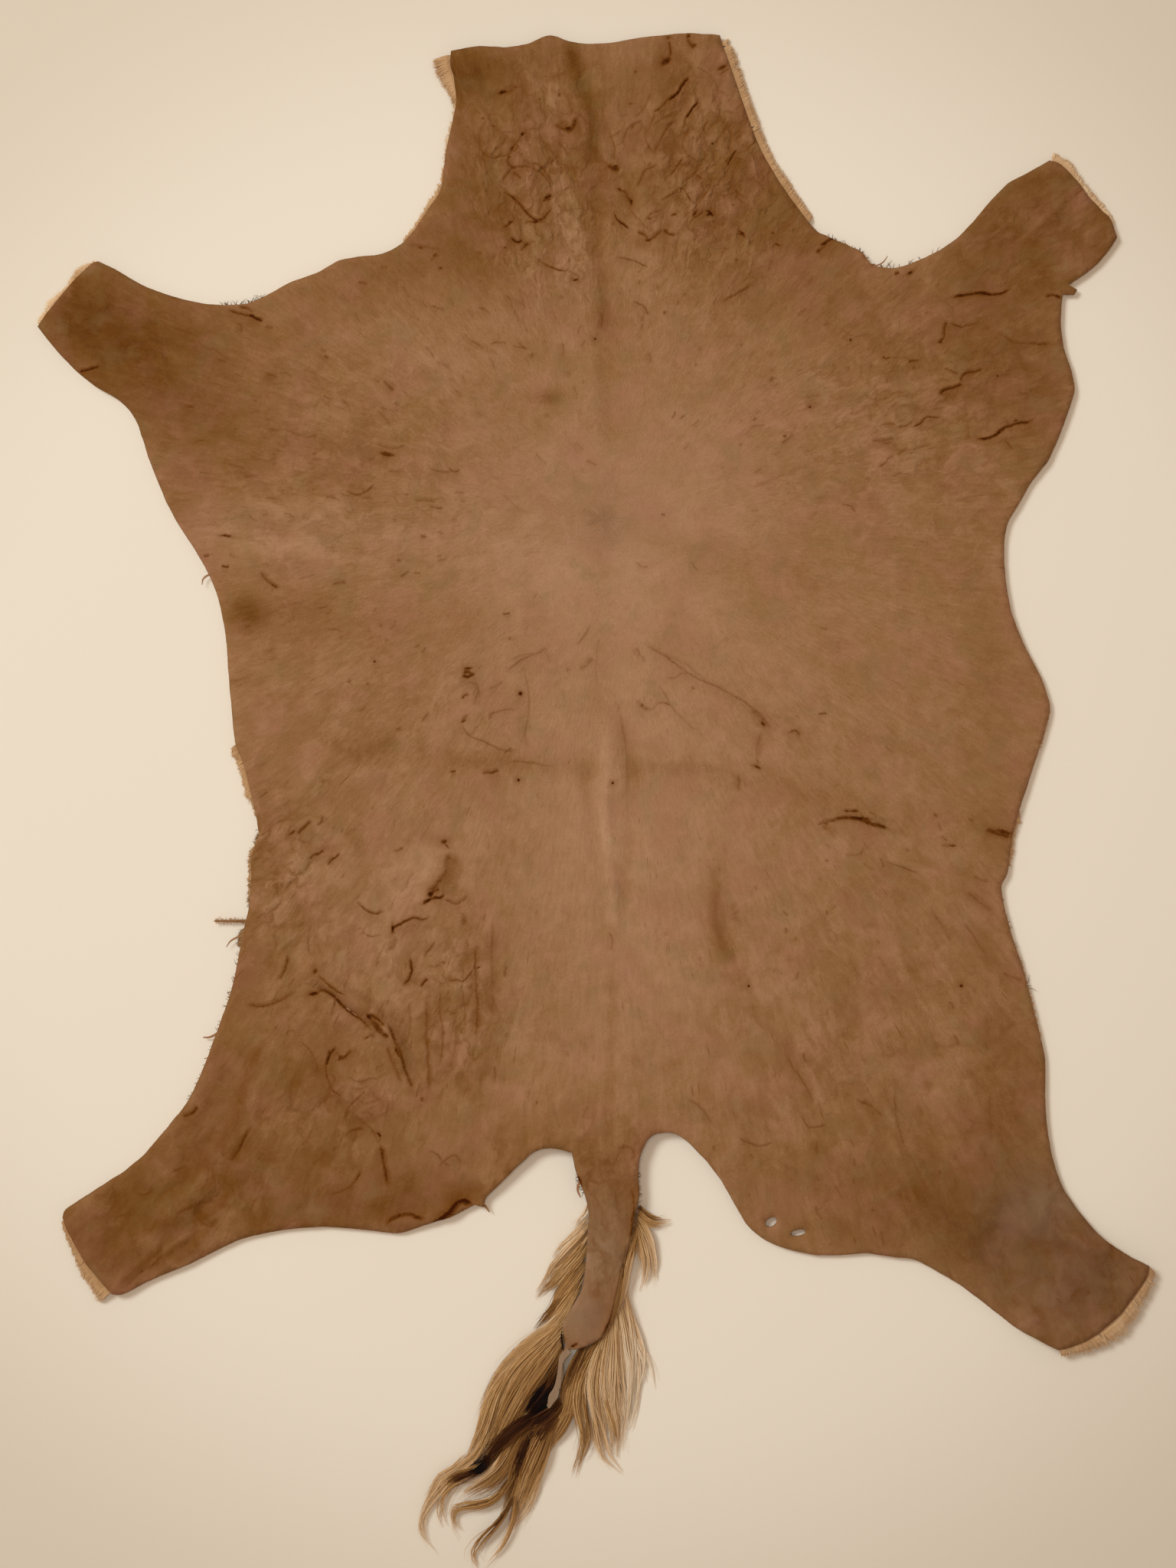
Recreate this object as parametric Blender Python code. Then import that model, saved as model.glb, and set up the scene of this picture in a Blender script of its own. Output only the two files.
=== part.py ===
"""Tanned antelope hide with the hair on, lying flesh side up and hair side down.

The origin is on the surface that the hide rests on, under the middle of the
backbone. +Y runs along the backbone to the neck, +X to the right of the hide
as it lies, +Z up. Tables and sizes are in millimetres.
"""
import math

import bmesh
import bpy
from mathutils import Matrix, Vector, noise
from mathutils.geometry import delaunay_2d_cdt

MM = 0.001

# Sheet and pile
SKIN_THICK = 2.0        # tanned skin
PILE = 4.5              # short hair pressed flat under the skin
FIT_GAP = 0.3           # clearance between neighbouring solids
SOLE = 1.6              # least hair left under the deepest furrow
WAVE_HEIGHT = 0.7       # gentle unevenness of the whole sheet
WAVE_LENGTH = 130.0

# Mesh density
EDGE_STEP = 18.0        # along the cut edge
GRID_STEP = 58.0        # over the open middle
FOLD_STEP = 38.0        # along a fold
SHARP_FOLD = 3.0        # a fold this high gets rows half way out too
MERGE_DISTANCE = 0.02
FOLD_ROOM = 8.0         # kept free round each point of a fold
OPEN_ROOM = 17.0        # kept free round each point of the open middle

# Hair at the rim
LOCK_ROOT = 7.0         # how far a rim lock reaches in under the skin
LOCK_OVERLAP = 1.24     # width of a lock's root over the distance between locks
LOCK_SHOULDER = 0.35    # share of a lock's reach that keeps most of its width
LOCK_SHOULDER_WIDTH = 0.8
LOCK_UNEVEN = 0.28      # how much longer or shorter than its row a lock may be
LOCK_SLOPE = 12.0       # distance over which the rim hair thins to its tips
LOCK_TIP_HEIGHT = 1.2

# Tail
TAIL_LIFT = 7.5         # the tail lies on its own long hair
TAIL_HAIR_TOP = PILE + TAIL_LIFT
TAIL_HAIR_LOW = 7.0     # height of the long hair half way out
TAIL_TIP_HEIGHT = 1.6
TAIL_LOCKS = 66
TAIL_LOCK_STATIONS = 5
TAIL_LOCK_GAP = 0.07    # share of each lock's slot left open
TAIL_LOCK_LENGTH = 0.86 # of its way that an average lock fills
TAIL_LOCK_UNEVEN = 0.14
TAIL_LOCK_TAPER = 0.75  # how much a lock narrows from half way to its tip
TAIL_CREST_STEP = 0.11  # neighbouring locks differ in height by this share
TAIL_ROOT_DROP = 1.0    # a lock's root is this much lower than the backing's top
TAIL_BACKING_INSET = 5.0
TAIL_BACKING_BASE = 2.0

# The cut edge, clockwise from the neck's left corner. Each run is smooth, and
# the edge turns sharply where one run ends and the next starts. Columns: x, y.
EDGE_RUNS = {
    "neck end": (
        (-161, 754), (-133, 759), (-102, 758), (-81, 762), (-60, 770), (-39, 764),
        (-21, 762), (3, 763), (31, 768), (58, 771), (82, 773)),
    "right of neck": (
        (115, 771), (125, 739), (140, 697), (155, 658), (175, 622), (196, 593),
        (212, 572), (237, 559), (262, 547), (271, 535), (282, 532), (294, 531),
        (310, 535), (344, 551), (368, 570), (394, 600), (412, 618), (432, 629)),
    "right fore foot": (
        (455, 642), (466, 638), (483, 621), (495, 605), (508, 591), (517, 582)),
    "under right fore leg": (
        (524, 563), (518, 553), (505, 537), (492, 526)),
    "right fore nib": (
        (474, 514), (483, 509), (480, 504)),
    "right flank": (
        (468, 504), (466, 476), (470, 446), (478, 422), (480, 405), (470, 373),
        (454, 335), (435, 310), (424, 290), (412, 270), (408, 250), (409, 214),
        (416, 175), (431, 138), (446, 109), (455, 78), (451, 59), (434, 6),
        (417, -49), (411, -92)),
    "right hind leg, front": (
        (405, -106), (409, -131), (416, -157), (427, -190), (443, -253), (450, -285),
        (450, -322), (453, -361), (461, -397), (472, -422), (491, -448), (510, -468),
        (539, -487)),
    "right hind foot": (
        (556, -495), (551, -510), (539, -528), (520, -550), (500, -566), (478, -577)),
    "right hind leg, back": (
        (462, -581), (442, -571), (420, -559), (391, -537), (366, -518), (340, -502),
        (314, -489), (295, -487), (266, -483), (238, -485), (209, -484), (183, -478),
        (160, -468), (143, -453), (130, -431), (114, -404), (97, -383), (81, -367),
        (68, -359), (51, -359), (42, -364)),
    "right of tail": (
        (37, -372), (32, -386), (31, -404), (32, -421), (27, -444), (22, -470),
        (14, -496), (8, -525), (2, -551), (-7, -568), (-20, -576)),
    "left of tail": (
        (-36, -581), (-43, -577), (-47, -555), (-40, -542), (-27, -519), (-23, -493),
        (-21, -467), (-20, -438), (-24, -421), (-32, -401)),
    "left of rump": (
        (-37, -378), (-59, -374), (-76, -378), (-92, -392), (-108, -408), (-125, -425)),
    "left hind leg, back": (
        (-128, -435), (-137, -433), (-159, -444), (-189, -454), (-213, -462),
        (-249, -459), (-285, -456), (-316, -457), (-346, -461), (-376, -468),
        (-401, -479), (-431, -494), (-467, -509), (-500, -525)),
    "left hind foot": (
        (-510, -525), (-530, -502), (-548, -476), (-561, -446)),
    "left hind leg, front": (
        (-558, -438), (-528, -418), (-497, -398), (-479, -383), (-449, -348),
        (-431, -324), (-413, -284), (-404, -258), (-393, -229), (-385, -202),
        (-375, -150), (-370, -130), (-367, -100), (-367, -75), (-360, -55),
        (-364, -23), (-375, 21), (-383, 40), (-387, 74), (-391, 120), (-393, 149),
        (-402, 194), (-419, 231), (-446, 274), (-461, 306), (-473, 337), (-487, 377),
        (-503, 395), (-525, 408), (-549, 427), (-573, 453)),
    "left fore foot": (
        (-587, 471), (-576, 487), (-551, 517), (-532, 535)),
    "left of neck": (
        (-525, 538), (-506, 529), (-476, 512), (-434, 498), (-397, 493), (-367, 496),
        (-346, 506), (-328, 516), (-298, 527), (-273, 540), (-232, 546), (-214, 555),
        (-202, 567), (-182, 596), (-172, 612), (-167, 649), (-156, 706), (-162, 741)),
}

# Where the tail begins: the pile ends here and the tail's long hair takes over.
TAIL_SEAM = ((-37, -378), (37, -372))
TAIL_REACH = 72.0       # the tail lies within this distance of the backbone's line

# Slits worn through skin and pile. Columns: x, y, length, width, turn in degrees.
HOLES = (
    (168, -451, 14, 9, 35),
    (196, -462, 17, 7, 10),
)
HOLE_SIDES = 10

# Dried strips of skin left on the edge. Columns: root, bends and end as x, y.
STRIPS = (
    {"width": 5.0, "path": ((-36, -572), (-48, -590), (-48, -610), (-55, -626), (-62, -639))},
    {"width": 2.8, "path": ((-368, -141), (-405, -141))},
)

# Ends that stand off the surface. Columns: x, y, reach across, reach along, height.
LIFTS = (
    (0, -530, 170, 290, TAIL_LIFT),
    (70, -372, 110, 80, 3.0),
    (535, -560, 150, 130, 9.0),
    (-560, -500, 90, 80, 3.0),
    (-120, 800, 120, 90, 2.5),
)
LIFT_FLAT = 0.55        # share of a lift's reach that is level
FOLD_FADE = 0.17        # share of a fold's length in which it rises at each end
FOLD_END = 0.15         # share of that rise it already has where it starts

# Folds. Height is up from the sheet, half is the half width.
FOLDS = (
    {"name": "backbone furrow in the neck", "height": -2.0, "half": 13,
     "path": ((-40, 764), (-15, 672), (-13, 582), (-7, 520), (0, 415), (6, 350))},
    {"name": "left lobe of the neck", "height": 1.8, "half": 26,
     "path": ((-95, 730), (-75, 640), (-60, 560))},
    {"name": "right lobe of the neck", "height": 1.6, "half": 28,
     "path": ((50, 740), (48, 650), (40, 560))},
    {"name": "ridge of the loin", "height": 2.2, "half": 14,
     "path": ((-3, 40), (-4, -40), (2, -110), (5, -172))},
    {"name": "left furrow of the loin", "height": -1.6, "half": 11,
     "path": ((-24, 17), (-9, -72), (-3, -135), (4, -165))},
    {"name": "right furrow of the loin", "height": -1.6, "half": 11,
     "path": ((17, 72), (24, 17), (24, -34), (19, -97), (14, -147))},
    {"name": "pleat in the left thigh", "height": 6.5, "half": 14,
     "path": ((-318, -178), (-300, -196), (-271, -216), (-246, -233), (-222, -262),
              (-206, -300))},
    {"name": "upper ridge of the left shoulder", "height": 2.6, "half": 24,
     "path": ((-420, 292), (-330, 282), (-225, 272))},
    {"name": "lower ridge of the left shoulder", "height": 2.2, "half": 20,
     "path": ((-405, 230), (-330, 232), (-250, 222))},
    {"name": "ridge of the left hind leg", "height": 3.2, "half": 18,
     "path": ((-505, -492), (-450, -446), (-394, -400))},
    {"name": "lip of the left hind leg", "height": 3.6, "half": 11,
     "path": ((-238, -452), (-205, -449), (-171, -445), (-152, -434))},
    {"name": "crease by the right flank", "height": -1.8, "half": 9,
     "path": ((218, -29), (258, -36), (296, -47))},
    {"name": "crease in the right shoulder", "height": -1.8, "half": 9,
     "path": ((360, 505), (405, 510), (425, 516))},
    {"name": "ridge of the right shoulder", "height": 2.4, "half": 20,
     "path": ((340, 430), (400, 452), (450, 470))},
    {"name": "long crease in the right shoulder", "height": -1.8, "half": 10,
     "path": ((372, 357), (408, 366), (441, 378))},
    {"name": "mark of the fold across", "height": -0.9, "half": 16,
     "path": ((-330, 34), (-150, 24), (5, 11), (210, -12), (400, -46))},
    {"name": "crown of the tail", "height": 3.0, "half": 21,
     "path": ((0, -400), (3, -440), (-3, -500), (-20, -545), (-24, -562))},
)

# Hair that shows past the edge. Columns: from and to as x, y on the edge, how
# many locks stand between them, how far they reach, and how far their tips sweep
# along the edge.
RIM_HAIR = (
    {"name": "neck corner", "from": (-161, 748), "to": (-158, 716), "locks": 4, "reach": 14, "sweep": -4},
    {"name": "left of neck", "from": (-170, 628), "to": (-214, 558), "locks": 7, "reach": 7, "sweep": -5},
    {"name": "left fore foot", "from": (-531, 533), "to": (-583, 476), "locks": 9, "reach": 11, "sweep": 3},
    {"name": "left flank", "from": (-383, 40), "to": (-362, -30), "locks": 8, "reach": 12, "sweep": 6},
    {"name": "left thigh", "from": (-366, -60), "to": (-374, -120), "locks": 5, "reach": 6, "sweep": 5},
    {"name": "tuft of the thigh", "from": (-374, -149), "to": (-378, -164), "locks": 2, "reach": 8, "sweep": 2},
    {"name": "nib of the thigh", "from": (-400, -250), "to": (-404, -258), "locks": 1, "reach": 8, "sweep": 4},
    {"name": "left hind foot", "from": (-556, -456), "to": (-514, -520), "locks": 9, "reach": 11, "sweep": 3},
    {"name": "right hind foot", "from": (464, -581), "to": (556, -496), "locks": 14, "reach": 16, "sweep": -2},
    {"name": "right flank", "from": (412, -70), "to": (422, -30), "locks": 4, "reach": 7, "sweep": -5},
    {"name": "right fore foot", "from": (519, 575), "to": (457, 642), "locks": 9, "reach": 9, "sweep": 3},
    {"name": "right of neck", "from": (116, 769), "to": (205, 581), "locks": 21, "reach": 13, "sweep": -6},
)

# The tail's long hair, from the left side round the end to the right side. Each
# row is one hair's way: its root under the tail, two places along it, its tip.
TAIL_HAIR_WAYS = (
    ((-8, -440), (-28, -460), (-42, -474), (-54, -492)),
    ((-9, -464), (-34, -486), (-54, -506), (-71, -524)),
    ((-11, -492), (-38, -518), (-58, -540), (-74, -558)),
    ((-16, -518), (-56, -556), (-94, -590), (-128, -636)),
    ((-25, -539), (-80, -592), (-128, -656), (-188, -770)),
    ((-31, -549), (-76, -606), (-122, -676), (-170, -764)),
    ((-34, -559), (-72, -620), (-112, -692), (-150, -776)),
    ((-36, -566), (-62, -630), (-98, -706), (-134, -800)),
    ((-34, -570), (-54, -634), (-82, -712), (-112, -792)),
    ((-30, -571), (-44, -630), (-62, -690), (-82, -742)),
    ((-25, -570), (-32, -620), (-38, -660), (-44, -704)),
    ((-19, -567), (-17, -612), (-18, -654), (-22, -698)),
    ((-13, -562), (-4, -604), (2, -644), (4, -688)),
    ((-8, -555), (8, -592), (18, -628), (24, -668)),
    ((-5, -544), (16, -580), (30, -612), (40, -652)),
    ((-2, -528), (18, -556), (33, -586), (45, -620)),
    ((2, -510), (16, -534), (28, -556), (38, -580)),
    ((9, -484), (22, -496), (32, -508), (38, -524)),
    ((15, -462), (32, -472), (45, -486), (52, -506)),
    ((19, -444), (34, -450), (46, -462), (54, -482)),
    ((21, -430), (36, -436), (47, -441), (58, -449)),
)


def mix(a, b, t):
    return a + (b - a) * t


def smooth_step(t):
    t = min(1.0, max(0.0, t))
    return t * t * (3.0 - 2.0 * t)


def spline_point(before, start, end, after, t):
    """Catmull-Rom point on the span from start to end."""
    return 0.5 * (
        2.0 * start
        + (end - before) * t
        + (2.0 * before - 5.0 * start + 4.0 * end - after) * t * t
        + (3.0 * start - before - 3.0 * end + after) * t ** 3)


def smooth_run(points, step):
    """Points about one step apart on the spline through a run, its last point left out."""
    ends = [points[0] * 2.0 - points[1]] + points + [points[-1] * 2.0 - points[-2]]
    run = []
    for i in range(len(points) - 1):
        before, start, end, after = ends[i:i + 4]
        parts = max(1, round((end - start).length / step))
        run += [spline_point(before, start, end, after, k / parts) for k in range(parts)]
    return run


def cut_edge():
    """The hide's outline as one closed loop."""
    runs = [[Vector(row) for row in rows] for rows in EDGE_RUNS.values()]
    loop = []
    for i, run in enumerate(runs):
        corner = runs[(i + 1) % len(runs)][0]
        loop += smooth_run(run + [corner], EDGE_STEP)
    return loop


def hole_edge(x, y, length, width, turn):
    centre = Vector((x, y))
    spin = Matrix.Rotation(math.radians(turn), 2)
    angles = [math.tau * i / HOLE_SIDES for i in range(HOLE_SIDES)]
    return [centre + spin @ Vector((length / 2 * math.cos(a), width / 2 * math.sin(a)))
            for a in angles]


def strip_edge(width, path):
    """Outline of a narrow strip of skin that tapers to its end."""
    points = smooth_run([Vector(row) for row in path], EDGE_STEP / 2) + [Vector(path[-1])]
    left, right = [], []
    for i, point in enumerate(points):
        ahead = points[min(i + 1, len(points) - 1)] - points[max(i - 1, 0)]
        half = width / 2 * (1.0 - 0.6 * i / (len(points) - 1))
        side = ahead.orthogonal().normalized() * half
        left.append(point + side)
        right.append(point - side)
    return left + right[::-1]


def nearest_on_path(point, path):
    """Distance to a path, and how far along it, 0 to 1, the nearest place is."""
    best, best_along, walked = math.inf, 0.0, 0.0
    for start, end in zip(path, path[1:]):
        step = end - start
        t = min(1.0, max(0.0, (point - start).dot(step) / step.length_squared))
        distance = (point - start - step * t).length
        if distance < best:
            best, best_along = distance, walked + step.length * t
        walked += step.length
    return best, best_along / walked


def lift_at(point):
    """Height of the hair's underside over the surface."""
    height = 0.0
    for x, y, across, along, lift in LIFTS:
        reach = math.hypot((point.x - x) / across, (point.y - y) / along)
        share = smooth_step((1.0 - reach) / (1.0 - LIFT_FLAT))
        height = max(height, lift * share)
    return height


def fold_at(point):
    """Height of folds and unevenness over the plain sheet."""
    height = noise.noise(Vector((point.x, point.y, 0.0)) / WAVE_LENGTH) * WAVE_HEIGHT
    for fold in FOLDS:
        path = [Vector(row) for row in fold["path"]]
        distance, along = nearest_on_path(point, path)
        if distance < fold["half"]:
            across = (1.0 - (distance / fold["half"]) ** 2) ** 2
            ends = smooth_step(min(along, 1.0 - along) / FOLD_FADE + FOLD_END)
            height += fold["height"] * across * ends
    return max(height, SOLE - PILE)


def on_tail(point):
    """True past the tail seam, where the sheet is the tail's."""
    left, right = (Vector(row) for row in TAIL_SEAM)
    past_seam = (right - left).cross(point - left) < 0.0
    return past_seam and abs(point.x) < TAIL_REACH


def skin_underside(point):
    raised = fold_at(point)
    if on_tail(point):
        raised = max(raised, 0.0)
    return lift_at(point) + PILE + FIT_GAP + raised


def inside(point, loop):
    crossings = 0
    for start, end in zip(loop, loop[1:] + loop[:1]):
        if (start.y > point.y) != (end.y > point.y):
            t = (point.y - start.y) / (end.y - start.y)
            crossings += point.x < start.x + t * (end.x - start.x)
    return crossings % 2 == 1


def edge_distance(point, loop):
    return nearest_on_path(point, loop + loop[:1])[0]


def loop_walk(loop, start, end):
    """The stretch of a closed loop between the points nearest to start and end."""
    first = min(range(len(loop)), key=lambda i: (loop[i] - start).length)
    last = min(range(len(loop)), key=lambda i: (loop[i] - end).length)
    ahead = (last - first) % len(loop)
    back = (first - last) % len(loop)
    if ahead <= back:
        return [loop[(first + k) % len(loop)] for k in range(ahead + 1)]
    return [loop[(first - k) % len(loop)] for k in range(back + 1)]


def point_along(path, share):
    """Point and direction at a share of a path's length."""
    lengths = [(b - a).length for a, b in zip(path, path[1:])]
    left = share * sum(lengths)
    for start, end, length in zip(path, path[1:], lengths):
        if left <= length:
            return start.lerp(end, left / length), (end - start).normalized()
        left -= length
    return path[-1], (path[-1] - path[-2]).normalized()


def rim_locks(loop):
    """A pointed outline for each lock of hair that shows past the edge."""
    locks = []
    for row in RIM_HAIR:
        path = loop_walk(loop, Vector(row["from"]), Vector(row["to"]))
        length = sum((b - a).length for a, b in zip(path, path[1:]))
        half = LOCK_OVERLAP / 2 * length / row["locks"]
        for i in range(row["locks"]):
            root, ahead = point_along(path, (i + 0.5) / row["locks"])
            outward = ahead.orthogonal()
            if inside(root + outward, loop):
                outward = -outward
            uneven = 1.0 + LOCK_UNEVEN * math.sin(2.4 * i + row["reach"])
            tip = root + outward * row["reach"] * uneven + ahead * row["sweep"] * uneven
            base = root - outward * LOCK_ROOT
            shoulder = root + outward * row["reach"] * LOCK_SHOULDER
            side = ahead * half * LOCK_SHOULDER_WIDTH
            locks.append([base - ahead * half, base + ahead * half, shoulder + side, tip,
                          shoulder - side])
    return locks


def fold_points():
    """Rows of points along each fold and beside it."""
    points = []
    for fold in FOLDS:
        path = [Vector(row) for row in fold["path"]]
        length = sum((b - a).length for a, b in zip(path, path[1:]))
        count = max(2, round(length / FOLD_STEP))
        for k in range(count + 1):
            place, ahead = point_along(path, k / count)
            side = ahead.orthogonal() * fold["half"]
            shares = (-1.0, -0.5, 0.0, 0.5, 1.0) if abs(fold["height"]) > SHARP_FOLD else (-1.0, 0.0, 1.0)
            points += [place + side * share for share in shares]
    return points


def open_points(loop):
    """An even three-way grid over the hide."""
    row_step = GRID_STEP * math.sqrt(0.75)
    columns = math.ceil(max(abs(point.x) for point in loop) / GRID_STEP)
    rows = math.ceil(max(abs(point.y) for point in loop) / row_step)
    points = []
    for j in range(-rows, rows + 1):
        for i in range(-columns, columns + 1):
            points.append(Vector(((i + 0.5 * (j % 2)) * GRID_STEP, j * row_step)))
    return points


def inner_points(loop, holes):
    """Points of the sheet inside its edge, folds first and the open grid between them."""
    kept = []
    for points, room in ((fold_points(), FOLD_ROOM), (open_points(loop), OPEN_ROOM)):
        for point in points:
            if not inside(point, loop) or edge_distance(point, loop) < room:
                continue
            if any(edge_distance(point, hole) < FOLD_ROOM for hole in holes):
                continue
            if all((point - other).length > room for other in kept):
                kept.append(point)
    return kept


def turns_left(outline):
    pairs = zip(outline, outline[1:] + outline[:1])
    return sum(start.cross(end) for start, end in pairs) > 0.0


def triangulate(loop, holes, strips, locks, points):
    """One flat net of triangles that skin and pile share, each with the outlines it is in."""
    vertices, faces = [], []
    for outline in [loop] + holes + strips + locks:
        faces.append(list(range(len(vertices), len(vertices) + len(outline))))
        vertices += outline if turns_left(outline) else outline[::-1]
    seam_start = len(vertices)
    vertices += [Vector(row) for row in TAIL_SEAM]
    vertices += points
    net = delaunay_2d_cdt(vertices, [(seam_start, seam_start + 1)], faces, 1, MERGE_DISTANCE, True)
    return net[0], net[2], net[5]


def make_material(name, colour, roughness):
    material = bpy.data.materials.new(name)
    material.use_nodes = True
    shader = material.node_tree.nodes["Principled BSDF"]
    shader.inputs["Base Color"].default_value = (*colour, 1.0)
    shader.inputs["Roughness"].default_value = roughness
    shader.inputs["Metallic"].default_value = 0.0
    return material


def add_object(name, bm, material):
    mesh = bpy.data.meshes.new(name)
    bmesh.ops.recalc_face_normals(bm, faces=bm.faces)
    bm.to_mesh(mesh)
    bm.free()
    mesh.materials.append(material)
    piece = bpy.data.objects.new(name, mesh)
    bpy.context.scene.collection.objects.link(piece)
    return piece


def sheet_solid(name, vertices, faces, underside, upper, material):
    """A closed sheet between two heights over the same flat net."""
    bm = bmesh.new()
    used = {}
    for face in faces:
        for index in face:
            if index not in used:
                place = vertices[index]
                used[index] = bm.verts.new((place.x * MM, place.y * MM, underside(place) * MM))
        bm.faces.new([used[index] for index in face])
    raised = bmesh.ops.extrude_face_region(bm, geom=bm.faces[:])["geom"]
    for item in raised:
        if isinstance(item, bmesh.types.BMVert):
            place = Vector((item.co.x / MM, item.co.y / MM))
            item.co.z = upper(place) * MM
    return add_object(name, bm, material)


def hair_way(u):
    """Way of a hair at u along the tail's rows of ways, 0 to 1, as four points."""
    place = u * (len(TAIL_HAIR_WAYS) - 1)
    row = min(int(place), len(TAIL_HAIR_WAYS) - 2)
    first, second = TAIL_HAIR_WAYS[row], TAIL_HAIR_WAYS[row + 1]
    return [Vector(a).lerp(Vector(b), place - row) for a, b in zip(first, second)]


def way_point(way, t):
    ends = [way[0] * 2.0 - way[1]] + way + [way[-1] * 2.0 - way[-2]]
    span = min(int(t * 3.0), 2)
    return spline_point(*ends[span:span + 4], t * 3.0 - span)


def tail_lock(bm, index):
    """One three-sided lock that lies flat on the surface and tapers to its tip."""
    width = 1.0 / TAIL_LOCKS
    first = hair_way(width * (index + TAIL_LOCK_GAP))
    last = hair_way(width * (index + 1.0 - TAIL_LOCK_GAP))
    length = TAIL_LOCK_LENGTH + TAIL_LOCK_UNEVEN * math.sin(2.7 * index)
    crest = 1.0 - TAIL_CREST_STEP * (index % 3)
    rings = []
    for k in range(TAIL_LOCK_STATIONS):
        share = k / TAIL_LOCK_STATIONS
        left = way_point(first, share * length)
        right = way_point(last, share * length)
        middle = left.lerp(right, 0.5)
        narrow = 1.0 - TAIL_LOCK_TAPER * max(0.0, share - 0.5)
        left = middle.lerp(left, narrow)
        right = middle.lerp(right, narrow)
        height = mix(TAIL_HAIR_TOP - TAIL_ROOT_DROP, TAIL_HAIR_LOW, min(1.0, share * 2.0))
        height = mix(height, TAIL_TIP_HEIGHT, max(0.0, share * 2.0 - 1.0)) * crest
        rings.append([bm.verts.new((left.x * MM, left.y * MM, 0.0)),
                      bm.verts.new((right.x * MM, right.y * MM, 0.0)),
                      bm.verts.new((middle.x * MM, middle.y * MM, height * MM))])
    tip_place = way_point(first, length).lerp(way_point(last, length), 0.5)
    bm.faces.new(rings[0])
    for near, far in zip(rings, rings[1:]):
        for i in range(3):
            j = (i + 1) % 3
            bm.faces.new((near[i], near[j], far[j], far[i]))
    tip = bm.verts.new((tip_place.x * MM, tip_place.y * MM, TAIL_TIP_HEIGHT / 3 * MM))
    for i in range(3):
        bm.faces.new((rings[-1][i], rings[-1][(i + 1) % 3], tip))


def tail_backing(bm):
    """Low strip of matted hair under the tail's skin, which holds the locks' roots."""
    sides = ("right of tail", "left of tail")
    outline = [Vector(row) for side in sides for row in EDGE_RUNS[side]]
    ring = []
    for i, point in enumerate(outline):
        ahead = outline[(i + 1) % len(outline)] - outline[i - 1]
        inward = ahead.orthogonal().normalized()
        if not inside(point + inward, outline):
            inward = -inward
        ring.append(point + inward * TAIL_BACKING_INSET)
    base = [bm.verts.new((p.x * MM, p.y * MM, TAIL_BACKING_BASE * MM)) for p in ring]
    face = bm.faces.new(base)
    raised = bmesh.ops.extrude_face_region(bm, geom=[face])["geom"]
    for item in raised:
        if isinstance(item, bmesh.types.BMVert):
            item.co.z = TAIL_HAIR_TOP * MM
    bmesh.ops.triangulate(bm, faces=bm.faces)


def make_tail_hair(material):
    locks = bmesh.new()
    for index in range(TAIL_LOCKS):
        tail_lock(locks, index)
    cutter = add_object("tail_locks_to_join", locks, material)
    cutter.hide_render = True
    cutter.display_type = "WIRE"
    backing = bmesh.new()
    tail_backing(backing)
    hair = add_object("tail_hair", backing, material)
    join = hair.modifiers.new("Join locks", "BOOLEAN")
    join.operation = "UNION"
    join.solver = "EXACT"
    join.object = cutter
    return hair


def main():
    for old in list(bpy.data.objects):
        bpy.data.objects.remove(old)
    leather = make_material("tanned_skin", (0.29, 0.16, 0.075), 0.75)
    pile = make_material("short_hair", (0.60, 0.42, 0.24), 0.85)
    long_hair = make_material("long_hair", (0.36, 0.20, 0.09), 0.7)

    loop = cut_edge()
    holes = [hole_edge(*row) for row in HOLES]
    strips = [strip_edge(**row) for row in STRIPS]
    locks = rim_locks(loop)
    vertices, faces, outlines = triangulate(loop, holes, strips, locks, inner_points(loop, holes))
    first_strip = 1 + len(holes)
    first_lock = first_strip + len(strips)
    skin_faces, coat_faces = [], []
    for face, within in zip(faces, outlines):
        if any(0 < outline < first_strip for outline in within):
            continue
        in_strip = any(first_strip <= outline < first_lock for outline in within)
        in_lock = any(outline >= first_lock for outline in within)
        centre = sum((vertices[i] for i in face), Vector((0.0, 0.0))) / 3.0
        if 0 in within or in_strip:
            skin_faces.append(face)
        if (0 in within and not on_tail(centre)) or (in_lock and 0 not in within):
            coat_faces.append(face)

    def coat_upper(place):
        plain = skin_underside(place) - FIT_GAP
        out = 0.0 if inside(place, loop) else min(1.0, edge_distance(place, loop) / LOCK_SLOPE)
        return mix(plain, lift_at(place) + LOCK_TIP_HEIGHT, out)

    sheet_solid("skin", vertices, skin_faces, skin_underside,
                lambda place: skin_underside(place) + SKIN_THICK, leather)
    sheet_solid("coat", vertices, coat_faces, lift_at, coat_upper, pile)
    make_tail_hair(long_hair)


main()
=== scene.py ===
import math
import random

import bmesh
import bpy
import numpy as np
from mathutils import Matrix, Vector, noise
from mathutils.geometry import delaunay_2d_cdt
from mathutils.kdtree import KDTree


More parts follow.
